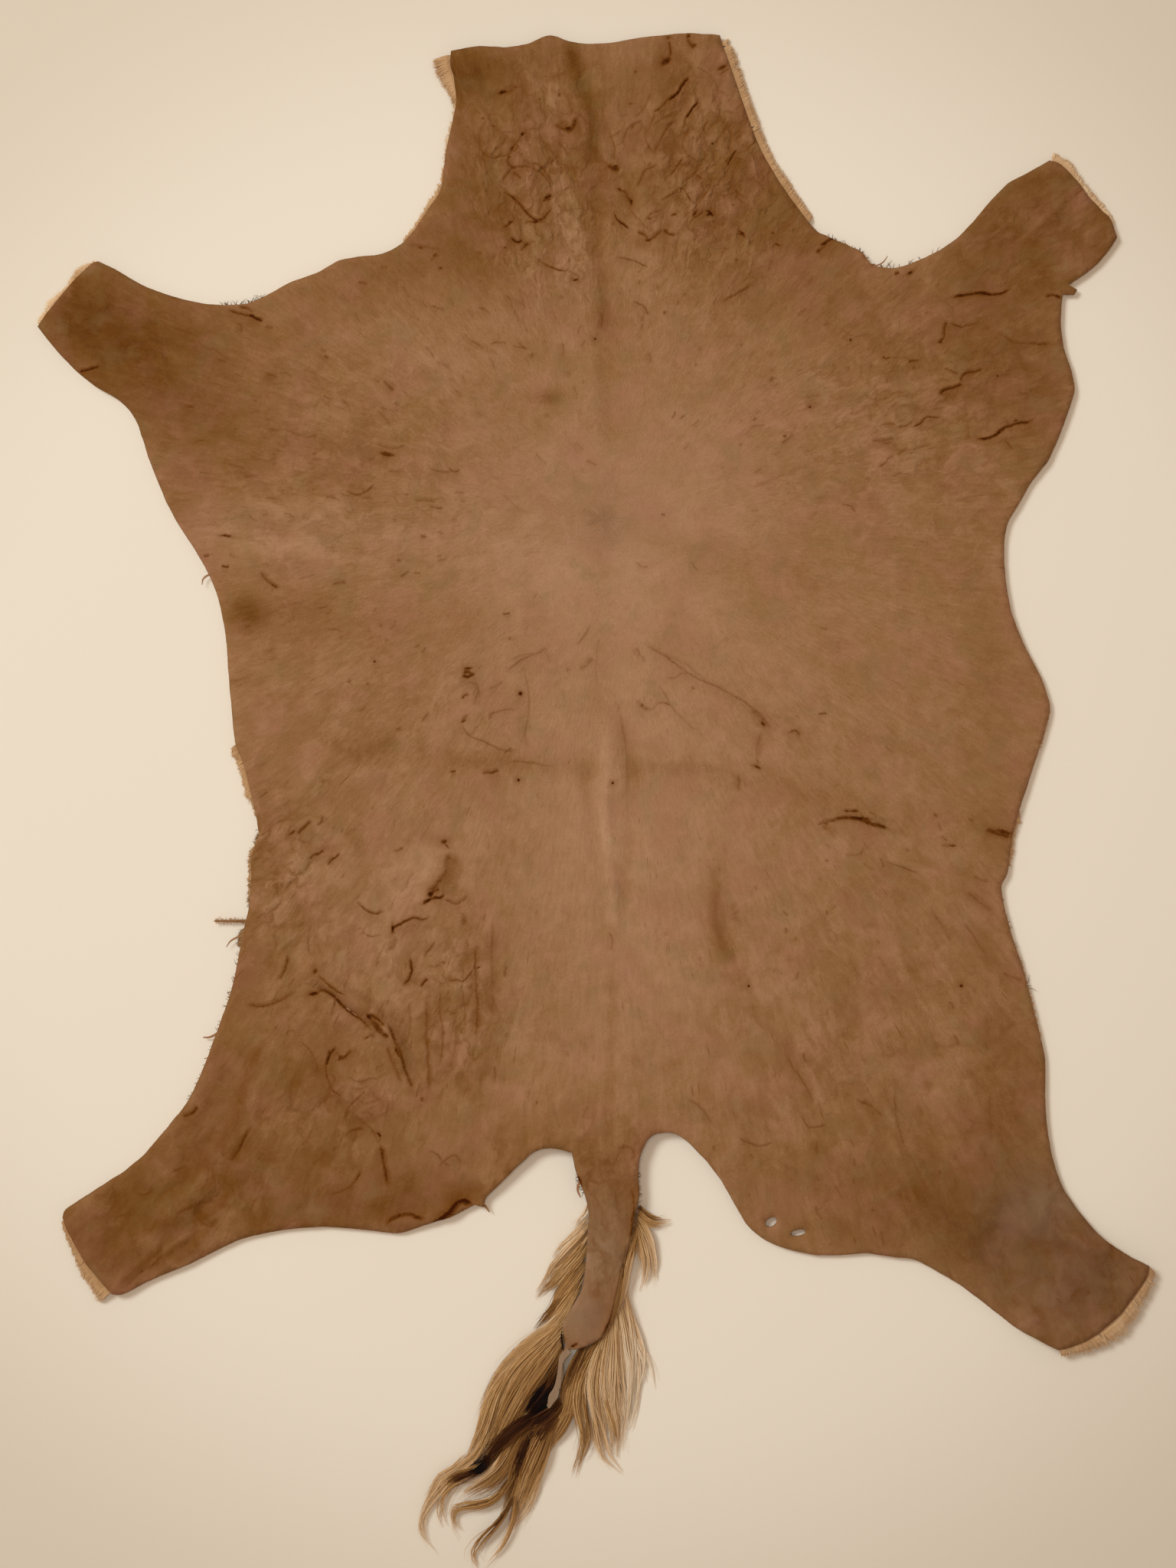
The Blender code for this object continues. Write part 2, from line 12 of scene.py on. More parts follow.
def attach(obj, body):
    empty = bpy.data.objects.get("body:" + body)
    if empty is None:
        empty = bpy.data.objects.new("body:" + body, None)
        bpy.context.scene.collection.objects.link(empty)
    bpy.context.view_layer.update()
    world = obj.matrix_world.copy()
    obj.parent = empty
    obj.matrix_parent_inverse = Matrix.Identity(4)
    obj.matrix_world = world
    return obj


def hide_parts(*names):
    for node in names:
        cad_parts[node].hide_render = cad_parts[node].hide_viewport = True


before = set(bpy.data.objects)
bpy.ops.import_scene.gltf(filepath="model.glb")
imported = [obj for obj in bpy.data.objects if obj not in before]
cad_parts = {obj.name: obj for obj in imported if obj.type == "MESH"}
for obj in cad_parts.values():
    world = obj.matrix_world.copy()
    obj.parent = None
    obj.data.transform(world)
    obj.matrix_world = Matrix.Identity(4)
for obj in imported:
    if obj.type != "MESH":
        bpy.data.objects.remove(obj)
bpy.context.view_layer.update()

mm = 0.001
print("frame loaded:", ", ".join(sorted(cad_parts)))


def linearColour(hexColour, alpha=1.0):
    # sRGB hex to the linear values that shaders take
    parts = [int(hexColour[i:i + 2], 16) / 255 for i in (1, 3, 5)]
    return (*[c / 12.92 if c <= 0.04045 else ((c + 0.055) / 1.055) ** 2.4 for c in parts], alpha)


def addNode(tree, kind, links=None, inputs=None, **settings):
    # one node with its settings, input values and incoming links
    node = tree.nodes.new(kind)
    for name, value in settings.items():
        setattr(node, name, value)
    for name, value in (inputs or {}).items():
        node.inputs[name].default_value = value
    for name, source in (links or {}).items():
        tree.links.new(source, node.inputs[name])
    return node


def toneRamp(tree, value, tones, easing="LINEAR"):
    # colours by position, read along a value from 0 to 1
    ramp = addNode(tree, "ShaderNodeValToRGB", {0: value})
    ramp.color_ramp.interpolation = easing
    stops = ramp.color_ramp.elements
    while len(stops) < len(tones):
        stops.new(0.5)
    for stop, (position, hexColour) in zip(stops, tones):
        stop.position = position
        stop.color = linearColour(hexColour)
    return ramp.outputs[0]


def smoothStep(t):
    t = np.clip(t, 0.0, 1.0)
    return t * t * (3.0 - 2.0 * t)


def newMaterial(name):
    material = bpy.data.materials.new(name)
    material.use_nodes = True
    return material, material.node_tree, material.node_tree.nodes["Principled BSDF"]


def newPiece(name, vertices, faces, material, attributes=None, smooth=True):
    # vertices in millimetres, attributes as one number a vertex
    mesh = bpy.data.meshes.new(name)
    mesh.from_pydata((np.asarray(vertices, float) * mm).tolist(), [], faces)
    for label, values in (attributes or {}).items():
        layer = mesh.attributes.new(label, "FLOAT", "POINT")
        layer.data.foreach_set("value", np.asarray(values, np.float32))
    mesh.materials.append(material)
    mesh.update()
    if smooth:
        mesh.shade_smooth()
    piece = bpy.data.objects.new(name, mesh)
    bpy.context.scene.collection.objects.link(piece)
    return piece


def pairs(numbers):
    return np.reshape(numbers, (-1, 2))


def pathDistance(points, path):
    # distance to a path, share of its length reached, and side, + on its left
    path = np.asarray(path, float)
    lengths = np.hypot(*(path[1:] - path[:-1]).T)
    best = np.full(len(points), 1e9)
    along = np.zeros(len(points))
    side = np.ones(len(points))
    walked = 0.0
    for start, end, length in zip(path, path[1:], lengths):
        step = end - start
        away = points - start
        t = np.clip((away @ step) / length ** 2, 0.0, 1.0)
        off = away - t[:, None] * step
        distance = np.hypot(off[:, 0], off[:, 1])
        closer = distance < best
        best[closer] = distance[closer]
        along[closer] = (walked + length * t[closer]) / lengths.sum()
        cross = step[0] * away[closer, 1] - step[1] * away[closer, 0]
        side[closer] = np.where(cross < 0.0, -1.0, 1.0)
        walked += length
    return best, along, side


def smoothPath(path, step, closed=False):
    # points about one step apart on a curve through the path's points, in 2-D or 3-D
    path = np.asarray(path, float)
    if closed:
        ends = np.vstack([path[-1:], path, path[:2]])
    else:
        ends = np.vstack([path[0] * 2 - path[1], path, path[-1] * 2 - path[-2]])
    points = []
    for a, b, c, d in zip(ends, ends[1:], ends[2:], ends[3:]):
        parts = max(1, round(float(np.linalg.norm(c - b)) / step))
        for t in np.arange(parts) / parts:
            points.append(0.5 * (2 * b + (c - a) * t + (2 * a - 5 * b + 4 * c - d) * t * t
                                 + (3 * b - a - 3 * c + d) * t ** 3))
    return np.array(points if closed else points + [path[-1]])


def bowed(root, bend, tip, u):
    # points at shares u of a curve from root to tip that leans over to bend
    u = u[:, None]
    return (1 - u) ** 2 * root + 2 * u * (1 - u) * bend + u ** 2 * tip


def ripple(walked, size, seed, layer):
    # smooth noise, about -1 to 1, at distances walked along a path
    return np.array([noise.noise(Vector((s / size, seed, layer))) for s in walked])


def placeTree(points):
    tree = KDTree(len(points))
    for i, (x, y) in enumerate(points):
        tree.insert((x, y, 0), i)
    tree.balance()
    return tree


def leftOf(path):
    # unit direction to the left of a path at each of its points
    ahead = np.gradient(path, axis=0)
    left = np.stack([-ahead[:, 1], ahead[:, 0]], axis=1)
    return left / np.maximum(np.linalg.norm(left, axis=1), 1e-9)[:, None]


# How the hide lies, in millimetres. lifts: x, y, reach across, reach along, height.
# folds: height, half width, path. These are the sheet's main forms and match its solid.
hideLie = {
    "pile": 4.5,            # short hair pressed flat under the skin
    "gap": 0.3,
    "thick": 2.0,           # tanned skin
    "sole": 1.6,            # least hair left under a furrow
    "waveHeight": 0.7,
    "waveLength": 130.0,
    "lifts": (
        (0, -530, 170, 290, 7.5),       # the tail on its long hair
        (70, -372, 110, 80, 3.0),       # right of the tail's root
        (535, -560, 150, 130, 9.0),     # right hind foot
        (-560, -500, 90, 80, 3.0),      # left hind foot
        (-120, 800, 120, 90, 2.5)),     # neck's left corner
    "liftFlat": 0.55,
    "folds": (
        (-2.0, 13, ((-40, 764), (-15, 672), (-13, 582), (-7, 520), (0, 415), (6, 350))),
        (1.8, 26, ((-95, 730), (-75, 640), (-60, 560))),
        (1.6, 28, ((50, 740), (48, 650), (40, 560))),
        (2.2, 14, ((-3, 40), (-4, -40), (2, -110), (5, -172))),
        (-1.6, 11, ((-24, 17), (-9, -72), (-3, -135), (4, -165))),
        (-1.6, 11, ((17, 72), (24, 17), (24, -34), (19, -97), (14, -147))),
        (6.5, 14, ((-318, -178), (-300, -196), (-271, -216), (-246, -233), (-222, -262),
                   (-206, -300))),
        (2.6, 24, ((-420, 292), (-330, 282), (-225, 272))),
        (2.2, 20, ((-405, 230), (-330, 232), (-250, 222))),
        (3.2, 18, ((-505, -492), (-450, -446), (-394, -400))),
        (3.6, 11, ((-238, -452), (-205, -449), (-171, -445), (-152, -434))),
        (-1.8, 9, ((218, -29), (258, -36), (296, -47))),
        (-1.8, 9, ((360, 505), (405, 510), (425, 516))),
        (2.4, 20, ((340, 430), (400, 452), (450, 470))),
        (-1.8, 10, ((372, 357), (408, 366), (441, 378))),
        (-0.9, 16, ((-330, 34), (-150, 24), (5, 11), (210, -12), (400, -46))),
        (3.0, 21, ((0, -400), (3, -440), (-3, -500), (-20, -545), (-24, -562)))),
    "tailSeam": ((-37, -378), (37, -372)),
    "tailReach": 72.0,
}


def waves(points, size, seed=0.0):
    # smooth noise, about -1 to 1, over points in millimetres
    return np.array([noise.noise(Vector((x / size, y / size, seed))) for x, y in points])


def liftAt(points):
    height = np.zeros(len(points))
    for x, y, across, along, lift in hideLie["lifts"]:
        reach = np.hypot((points[:, 0] - x) / across, (points[:, 1] - y) / along)
        height = np.maximum(height, lift * smoothStep((1 - reach) / (1 - hideLie["liftFlat"])))
    return height


def onTail(points):
    (ax, ay), (bx, by) = hideLie["tailSeam"]
    past = (bx - ax) * (points[:, 1] - ay) - (by - ay) * (points[:, 0] - ax) < 0
    return past & (np.abs(points[:, 0]) < hideLie["tailReach"])


def skinUnderside(points):
    raised = waves(points, hideLie["waveLength"]) * hideLie["waveHeight"]
    for height, half, path in hideLie["folds"]:
        distance, along, side = pathDistance(points, smoothPath(path, 12))
        ends = smoothStep(np.minimum(along, 1 - along) / 0.17 + 0.15)
        raised += np.where(distance < half, height * (1 - (distance / half) ** 2) ** 2 * ends, 0)
    raised = np.maximum(raised, hideLie["sole"] - hideLie["pile"])
    raised = np.where(onTail(points), np.maximum(raised, 0), raised)
    return liftAt(points) + hideLie["pile"] + hideLie["gap"] + raised


# Cut edges of the hide, traced from its solid and made smooth and a little ragged
cutEdge = {
    "step": 2.2,
    "cornerTurn": 38.0,     # degrees: a sharper turn stays a corner
    "ragged": 0.42,         # mm, broad unevenness left by the knife
    "fine": 0.22,           # mm, fine fibres
    "narrow": 6.0,          # strips thinner than this keep their width
}


def solidEdges(nodeName):
    # outlines of the node's upper face, outer one first
    copy = bmesh.new()
    copy.from_mesh(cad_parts[nodeName].data)
    bmesh.ops.remove_doubles(copy, verts=copy.verts, dist=0.00001)
    copy.normal_update()
    upper = [face for face in copy.faces if face.normal.z > 0.25]
    isUpper = set(upper)
    ahead = {}
    for face in upper:
        for corner in face.loops:
            if sum(f in isUpper for f in corner.edge.link_faces) == 1:
                ahead[corner.vert] = corner.link_loop_next.vert
    outlines = []
    while ahead:
        start = next(iter(ahead))
        outline, place = [], start
        while place in ahead:
            outline.append((place.co.x / mm, place.co.y / mm))
            place = ahead.pop(place)
        outlines.append(np.array(outline))
    copy.free()
    outlines.sort(key=lambda o: -np.ptp(o[:, 1]))
    return outlines


def turnAngles(outline):
    into = outline - np.roll(outline, 1, axis=0)
    out = np.roll(outline, -1, axis=0) - outline
    angle = np.arctan2(out[:, 1], out[:, 0]) - np.arctan2(into[:, 1], into[:, 0])
    return np.abs((angle + math.pi) % math.tau - math.pi)


def smoothOutline(outline, step):
    # drops points that lie on a straight run, then curves through the rest between corners
    keep = []
    for i, place in enumerate(outline):
        before, after = outline[i - 1], outline[(i + 1) % len(outline)]
        chord = after - before
        off = abs(chord[0] * (place - before)[1] - chord[1] * (place - before)[0])
        near = min(np.linalg.norm(place - before), np.linalg.norm(after - place)) < 14
        if not (near and off / max(np.linalg.norm(chord), 1e-6) < 0.03):
            keep.append(place)
    outline = np.array(keep)
    corners = np.flatnonzero(turnAngles(outline) > math.radians(cutEdge["cornerTurn"]))
    if len(corners) < 2:
        return smoothPath(outline, step, closed=True)
    outline = np.roll(outline, -corners[0], axis=0)
    corners = np.append(corners - corners[0], len(outline))
    outline = np.vstack([outline, outline[:1]])
    runs = [smoothPath(outline[a:b + 1], step)[:-1] for a, b in zip(corners, corners[1:])]
    return np.vstack(runs)


def outwardOf(outline):
    ahead = np.roll(outline, -1, axis=0) - np.roll(outline, 1, axis=0)
    out = np.stack([ahead[:, 1], -ahead[:, 0]], axis=1)
    return out / np.maximum(np.linalg.norm(out, axis=1), 1e-9)[:, None]


def narrowPoints(outline):
    # where another part of the outline runs close by, as on both sides of a thin strip
    tree = placeTree(outline)
    narrow = np.zeros(len(outline), bool)
    for i, (x, y) in enumerate(outline):
        for place, j, distance in tree.find_range((x, y, 0), cutEdge["narrow"]):
            if min((i - j) % len(outline), (j - i) % len(outline)) > 4:
                narrow[i] = True
    return narrow


def raggedOutline(outline, seed):
    out = outwardOf(outline)
    walked = np.arange(len(outline)) * cutEdge["step"]
    rough = (ripple(walked, 13, seed, 0) * cutEdge["ragged"]
             + ripple(walked, 3.4, seed, 7) * cutEdge["fine"])
    rough[narrowPoints(outline)] = 0.0
    return outline + out * rough[:, None]


def signedArea(outline):
    x, y = outline.T
    return 0.5 * float(np.sum(x * np.roll(y, -1) - np.roll(x, -1) * y))


def insideOutline(points, outline):
    # even-odd rule, all points at once for each edge
    within = np.zeros(len(points), bool)
    x, y = points.T
    for (ax, ay), (bx, by) in zip(outline, np.roll(outline, -1, axis=0)):
        if ay != by:
            cross = (ay > y) != (by > y)
            within ^= cross & (x < ax + (y - ay) / (by - ay) * (bx - ax))
    return within


edges = []
for number, solidEdge in enumerate(solidEdges("skin")):
    smoothEdge = smoothOutline(solidEdge, cutEdge["step"])
    if signedArea(smoothEdge) < 0:
        smoothEdge = smoothEdge[::-1]
    edges.append(raggedOutline(smoothEdge, number * 3.1))
hideEdge, holeEdges = edges[0], edges[1:]
coarseEdge = hideEdge[::4]
edgeTree = placeTree(np.vstack(edges))
flatArea = (signedArea(hideEdge) - sum(signedArea(hole) for hole in holeEdges)) * mm * mm
print("edges traced:", len(hideEdge), "points,", len(holeEdges), "holes, area",
      round(flatArea, 3), "m2")

# Creases, nicks and torn membrane edges, by kind. lip: raised side, depth: hollow side,
# half: half width, all in millimetres. dark: painted shade in the hollow, pale: painted
# highlight on the lip, shade: painted shadow that spreads from the hollow, as beside a
# raised flap. lipReach, shadeReach: how many half widths the lip and the shade take to
# fade. wobble: how far the line wanders, mm. across: where the skin's net gets points, in
# half widths from the line.
creaseKinds = {
    "fine": {"lip": 0.24, "depth": 0.36, "half": 1.3, "dark": 0.52, "pale": 0.06, "shade": 0.20,
             "lipReach": 3.0, "shadeReach": 4.0, "wobble": 0.8,
             "across": (-1.5, -0.65, 0.25, 1.4)},
    "open": {"lip": 0.45, "depth": 0.62, "half": 1.8, "dark": 0.74, "pale": 0.12, "shade": 0.30,
             "lipReach": 3.0, "shadeReach": 4.0, "wobble": 0.9,
             "across": (-1.6, -0.7, 0.2, 1.4)},
    "deep": {"lip": 0.65, "depth": 0.90, "half": 2.3, "dark": 0.92, "pale": 0.16, "shade": 0.36,
             "lipReach": 3.0, "shadeReach": 4.0, "wobble": 0.8,
             "across": (-2.0, -1.2, -0.6, -0.1, 0.4, 1.2, 2.6)},
    "slit": {"lip": 1.10, "depth": 1.20, "half": 2.6, "dark": 0.96, "pale": 0.24, "shade": 0.36,
             "lipReach": 3.0, "shadeReach": 3.6, "wobble": 0.6,
             "across": (-2.0, -1.2, -0.6, -0.1, 0.4, 1.2, 2.6)},
    "torn": {"lip": 0.90, "depth": 0.90, "half": 2.0, "dark": 0.66, "pale": 0.34, "shade": 0.66,
             "lipReach": 7.0, "shadeReach": 3.8, "wobble": 0.9,
             "across": (-2.0, -1.2, -0.6, -0.1, 0.4, 1.2, 2.6)},
    "soft": {"lip": 0.80, "depth": 0.70, "half": 5.0, "dark": 0.30, "pale": 0.14, "shade": 0.0,
             "lipReach": 2.0, "shadeReach": 2.0, "wobble": 1.6,
             "across": (-2.2, -1.1, 0, 1.1, 2.2)},
}

# Each crease: kind, strength, how much wider, then its path as x, y, x, y ... in
# millimetres. Its lip is on the left of its path.
creases = (
    # neck, left half
    ("deep", 0.45, 1, -114, 711, -105, 713, -95, 716),
    ("fine", 0.41, 1, -95, 717, -87, 713, -82, 706),
    ("deep", 0.65, 1.7, -57, 682, -47, 677, -39, 674, -35, 684, -35, 690),
    ("open", 0.85, 1, -80, 670, -86, 668, -93, 660, -97, 653, -100, 645),
    ("fine", 0.47, 1, -131, 687, -122, 690, -112, 690, -106, 684),
    ("fine", 1.22, 1.4, -103, 646, -100, 638, -93, 634),
    ("fine", 1.08, 1.3, -131, 671, -130, 655, -124, 647, -114, 646, -108, 654),
    ("open", 1.2, 1, -109, 612, -99, 606, -89, 597, -81, 587, -73, 581, -66, 584, -60, 592,
     -57, 600),
    ("deep", 0.75, 1, -69, 600, -64, 602, -57, 604),
    ("deep", 0.55, 1, -88, 577, -81, 580, -71, 579, -63, 581),
    ("open", 0.95, 1, -109, 574, -104, 576, -101, 581),
    ("fine", 2.56, 1.4, -100, 564, -93, 559, -88, 562),
    ("open", 0.75, 1, -92, 550, -86, 554, -78, 558),
    ("fine", 0.88, 1, -115, 589, -111, 597, -104, 599),
    ("fine", 1.15, 1, -82, 641, -70, 637, -62, 629, -57, 619),
    # foot of the neck
    ("fine", 1.15, 1, -76, 545, -65, 536, -51, 530, -39, 529),
    ("open", 0.45, 1.8, -43, 527, -35, 521, -29, 519, -26, 523, -34, 530),
    # neck, right half
    ("deep", 0.9, 1.7, 1, 640, 5, 636, 13, 635),
    ("open", 0.85, 1.4, 9, 613, 18, 611, 22, 605, 24, 597),
    ("fine", 1.76, 1, 6, 591, 10, 582, 17, 576, 23, 571),
    ("open", 0.85, 1, 28, 571, 39, 566, 43, 561, 50, 567, 57, 573),
    ("fine", 1.49, 1.4, 57, 572, 63, 567, 71, 566),
    ("open", 0.9, 1, 87, 583, 93, 586, 98, 591),
    ("open", 1.35, 1, 100, 586, 106, 588, 110, 585),
    ("deep", 0.8, 1, 63, 768, 65, 758, 64, 748, 58, 738),
    ("open", 0.8, 1.5, 82, 772, 85, 764, 91, 757),
    ("open", 0.7, 1, 113, 729, 119, 735, 126, 738),
    ("fine", 2.56, 1.4, 60, 702, 71, 712, 77, 722, 84, 730),
    ("fine", 0.74, 1, 44, 675, 54, 684, 65, 690, 76, 695),
    ("fine", 2.56, 1, 79, 684, 86, 695, 93, 704),
    ("fine", 0.68, 1, 53, 622, 60, 631, 66, 641),
    ("fine", 0.81, 1, 41, 575, 46, 583, 54, 586),
    ("fine", 2.56, 1, 122, 635, 126, 645, 133, 654),
    ("open", 0.8, 1, 133, 568, 140, 565, 144, 563),
    ("fine", 1.01, 1, 8, 543, 21, 541, 33, 537, 44, 532),
    ("fine", 1.08, 1, 26, 498, 37, 492, 43, 482),
    ("deep", 1, 1, 216, 553, 228, 561, 239, 563, 250, 562),
    ("open", 1.1, 1, 213, 547, 222, 554, 227, 558),
    # right shoulder
    ("deep", 1, 1, 270, 532, 275, 540, 283, 542, 286, 548),
    # right fore leg
    ("deep", 1.05, 1, 349, 500, 363, 504, 381, 506, 397, 505, 409, 508, 417, 514),
    ("open", 1.2, 1, 449, 503, 460, 504, 468, 499),
    ("open", 1.15, 1, 339, 456, 344, 460, 346, 470, 349, 478),
    ("fine", 1.45, 1, 351, 476, 362, 471, 371, 473, 384, 476),
    ("open", 0.75, 1, 399, 468, 410, 460, 420, 455, 434, 454, 449, 454, 461, 454),
    ("fine", 1.2, 1, 284, 438, 291, 440),
    ("open", 1.05, 1, 308, 435, 314, 437, 321, 437),
    ("open", 1.15, 1, 361, 412, 366, 423, 378, 426, 387, 430),
    ("fine", 1.1, 1, 345, 429, 353, 426, 362, 422),
    ("open", 1.4, 1, 339, 400, 346, 407, 357, 410, 367, 412),
    ("fine", 1.4, 1, 311, 368, 321, 371, 327, 378, 335, 378, 344, 378),
    ("open", 0.65, 1, 270, 355, 283, 354, 294, 359),
    ("open", 0.5, 1, 298, 338, 305, 344, 316, 346, 333, 351),
    ("deep", 1.05, 1, 376, 356, 389, 357, 400, 361, 409, 368, 420, 372, 431, 374, 442, 378),
    ("fine", 0.35, 1, 365, 362, 373, 357, 381, 351, 370, 352),
    ("fine", 1.15, 1.3, 409, 356, 414, 349, 417, 344),
    ("fine", 0.3, 1, 439, 476, 449, 477, 457, 476),
    ("soft", 0.5, 1, 381, 556, 395, 572, 406, 588, 412, 602),
    ("soft", 1, 1, 423, 548, 439, 567, 457, 585, 472, 597),
    ("soft", 0.3, 1, 333, 558, 346, 572, 357, 588),
    ("open", 1, 1, 294, 525, 300, 528),
    # middle of the back
    ("fine", 0.7, 1, -185, 327, -170, 322, -159, 323),
    ("fine", 0.7, 1, -23, 334, -10, 328),
    ("fine", 0.4, 1, -113, 301, -104, 295, -96, 288, -89, 281),
    ("fine", 1.1, 1, -185, 286, -175, 285, -169, 285),
    ("fine", 0.45, 1, 85, 231, 90, 224, 95, 218),
    # right shoulder
    ("fine", 0.4, 1, 145, 303, 163, 311, 180, 319, 196, 325, 210, 329),
    # left fore leg
    ("open", 1.5, 1, -546, 425, -534, 428, -521, 432),
    ("open", 1.5, 1, -371, 484, -362, 481, -354, 477),
    ("open", 1, 1, -381, 493, -370, 490, -362, 485),
    ("deep", 0.3, 1, -404, 258, -393, 255, -382, 254),
    ("fine", 1.45, 1, -398, 225, -389, 224),
    ("open", 1, 1.3, -357, 221, -352, 213, -345, 207, -337, 201),
    # left shoulder
    ("deep", 0.9, 1, -235, 343, -228, 340, -218, 339),
    ("open", 0.65, 1, -292, 299, -284, 295, -276, 294),
    ("fine", 1.05, 1, -272, 303, -259, 299, -250, 302, -239, 310),
    ("fine", 0.6, 1, -228, 324, -218, 322, -209, 324),
    ("fine", 0.6, 1.8, -201, 294, -188, 293, -175, 291),
    ("fine", 1.05, 1, -164, 327, -158, 322, -152, 324),
    # left flank
    ("deep", 0.75, 1.4, -151, 114, -145, 117, -141, 115, -139, 110),
    ("deep", 1.05, 1, -150, 114, -144, 111, -137, 115),
    ("fine", 0.5, 1, -142, 109, -136, 100, -131, 93, -133, 77),
    ("open", 0.65, 1, -152, 63, -148, 69, -144, 73),
    ("open", 0.75, 1, -152, 87, -147, 92, -142, 93),
    ("open", 0.25, 1, -153, 54, -145, 52, -136, 54),
    ("fine", 0.85, 1, -123, 65, -120, 74, -112, 74),
    # loin
    ("fine", 0.6, 1, -87, 130, -84, 114, -81, 94, -81, 74, -84, 57, -85, 39),
    ("soft", 0.3, 1, -92, 98, -90, 78, -90, 58, -88, 36),
    ("fine", 0.45, 1, -102, 126, -90, 133, -74, 135, -65, 137, -60, 145),
    ("fine", 0.35, 1, -60, 122, -62, 131, -66, 136),
    ("fine", 0.6, 1, -33, 142, -26, 151, -18, 164),
    ("open", 0.45, 1.7, -31, 121, -23, 124, -17, 132),
    ("open", 0.4, 1, -44, 118, -38, 119),
    ("fine", 0.75, 1, -108, 32, -103, 35, -99, 39),
    ("open", 0.8, 1.4, -131, 13, -118, 14, -112, 17),
    ("fine", 1.5, 1, -163, 13, -156, 14),
    # left flank
    ("fine", 1.1, 1, -109, 175, -104, 176, -100, 176),
    # torn membrane
    ("fine", 0.15, 1, 29, 153, 32, 139, 35, 128, 37, 118),
    ("open", 0.25, 1, 32, 153, 43, 144, 58, 135, 73, 128, 84, 122, 95, 112, 109, 103, 123, 96,
     134, 87),
    ("deep", 0.4, 1.7, 145, 79, 155, 74, 163, 66, 167, 58, 160, 57),
    ("open", 0.4, 1.4, 161, 54, 158, 46, 158, 35, 156, 25),
    ("deep", 0.3, 1, 145, 21, 153, 18, 158, 14, 155, 11),
    ("fine", 1.1, 1.4, 137, 9, 136, 2, 135, -8),
    ("fine", 1.5, 1, 186, 54, 193, 56, 199, 50),
    ("fine", 0.95, 1, 216, 73, 226, 73),
    ("fine", 0.55, 1, 58, 111, 68, 109, 77, 115, 87, 109),
    ("open", 0.45, 1.8, 30, 88, 36, 82, 44, 76),
    ("fine", 0.8, 1, 58, 84, 65, 82),
    # slit of the flank
    ("slit", 0.8, 1.3, 218, -36, 231, -36, 243, -33, 258, -35, 270, -39, 281, -43, 292, -47),
    ("open", 1.4, 1, 242, -26, 250, -27, 259, -26),
    ("open", 0.75, 1, 214, -42, 220, -39, 229, -40),
    ("soft", 1, 1, 226, -40, 231, -46, 231, -54),
    ("fine", 0.65, 1, 242, -71, 251, -73, 261, -70, 264, -63),
    # left flank
    ("open", 0.65, 1, 343, -63, 349, -62, 356, -63),
    ("slit", 0.7, 1.5, 388, -44, 397, -48, 408, -51, 417, -53),
    ("soft", 1, 1, 367, -108, 381, -117, 392, -126, 400, -137),
    ("soft", 0.5, 1, 349, -144, 359, -155, 367, -169),
    ("open", 0.4, 1, 375, -94, 385, -98, 393, -100),
    ("open", 0.5, 1, 406, -193, 417, -198, 428, -202),
    # left thigh
    ("open", 0.95, 1, -322, -52, -316, -46, -311, -41, -305, -36),
    ("fine", 1.1, 1, -309, -78, -302, -72, -292, -69),
    ("fine", 1.5, 1, -290, -84, -283, -76, -275, -70),
    # torn edge of the thigh
    ("fine", 1.15, 1, -172, -57, -167, -62, -162, -67),
    ("torn", 0.8, 1.6, -189, -117, -182, -108, -175, -100, -168, -90, -166, -79, -162, -68),
    ("deep", 0.8, 1, -193, -124, -187, -120, -180, -117, -172, -116),
    ("deep", 1, 1, -187, -115, -183, -111, -177, -108, -172, -107),
    ("open", 1.4, 1, -180, -115, -174, -116, -168, -113),
    ("open", 0.75, 1.1, -170, -117, -163, -120, -155, -122, -150, -118, -144, -112),
    ("deep", 0.8, 1, -219, -158, -222, -149, -215, -144, -207, -140, -199, -137, -189, -138,
     -181, -134),
    ("open", 0.5, 1.8, -226, -172, -222, -163, -219, -156),
    ("fine", 0.7, 1.5, -151, -131, -146, -138, -145, -146),
    ("fine", 0.3, 1, -174, -145, -165, -148, -157, -146),
    ("fine", 0.95, 1, -190, -178, -184, -169, -177, -160),
    ("fine", 1, 1, -222, -68, -216, -68, -211, -64),
    # left thigh
    ("open", 1.4, 1, -213, -208, -206, -201, -203, -191, -205, -177),
    ("open", 1.5, 1, -194, -209, -190, -203, -185, -199),
    ("fine", 1.25, 1, -166, -201, -155, -201, -150, -203, -144, -197, -139, -189),
    ("fine", 0.55, 1, -186, -186, -179, -187, -171, -185),
    ("fine", 1, 1, -191, -180, -185, -171, -177, -161),
    ("open", 0.9, 1, -340, -202, -335, -194, -331, -184, -330, -175),
    ("open", 0.9, 1.4, -376, -225, -363, -227, -349, -226, -335, -220, -325, -214, -319, -209),
    # pleats of the thigh
    ("open", 0.9, 1, -298, -193, -292, -200, -285, -206, -276, -213, -267, -217),
    ("slit", 0.9, 1, -239, -257, -245, -253, -254, -244, -264, -237, -275, -228, -283, -219,
     -291, -214, -298, -214, -305, -216),
    ("open", 1.1, 1.3, -246, -234, -239, -238, -232, -244, -227, -249),
    ("open", 0.65, 1.6, -245, -236, -240, -245, -234, -254, -228, -259),
    ("fine", 1.9, 1, -240, -259, -245, -260, -251, -264),
    ("slit", 0.66, 1.15, -202, -312, -209, -294, -215, -276, -221, -262, -225, -252, -231, -242),
    ("open", 0.7, 1.1, -211, -311, -219, -295, -225, -280, -230, -266),
    ("open", 0.8, 1.3, -201, -314, -207, -301, -212, -289),
    ("open", 1.5, 1, -291, -291, -288, -281, -281, -270),
    ("fine", 1.55, 1.3, -280, -284, -272, -281, -264, -273),
    # left thigh
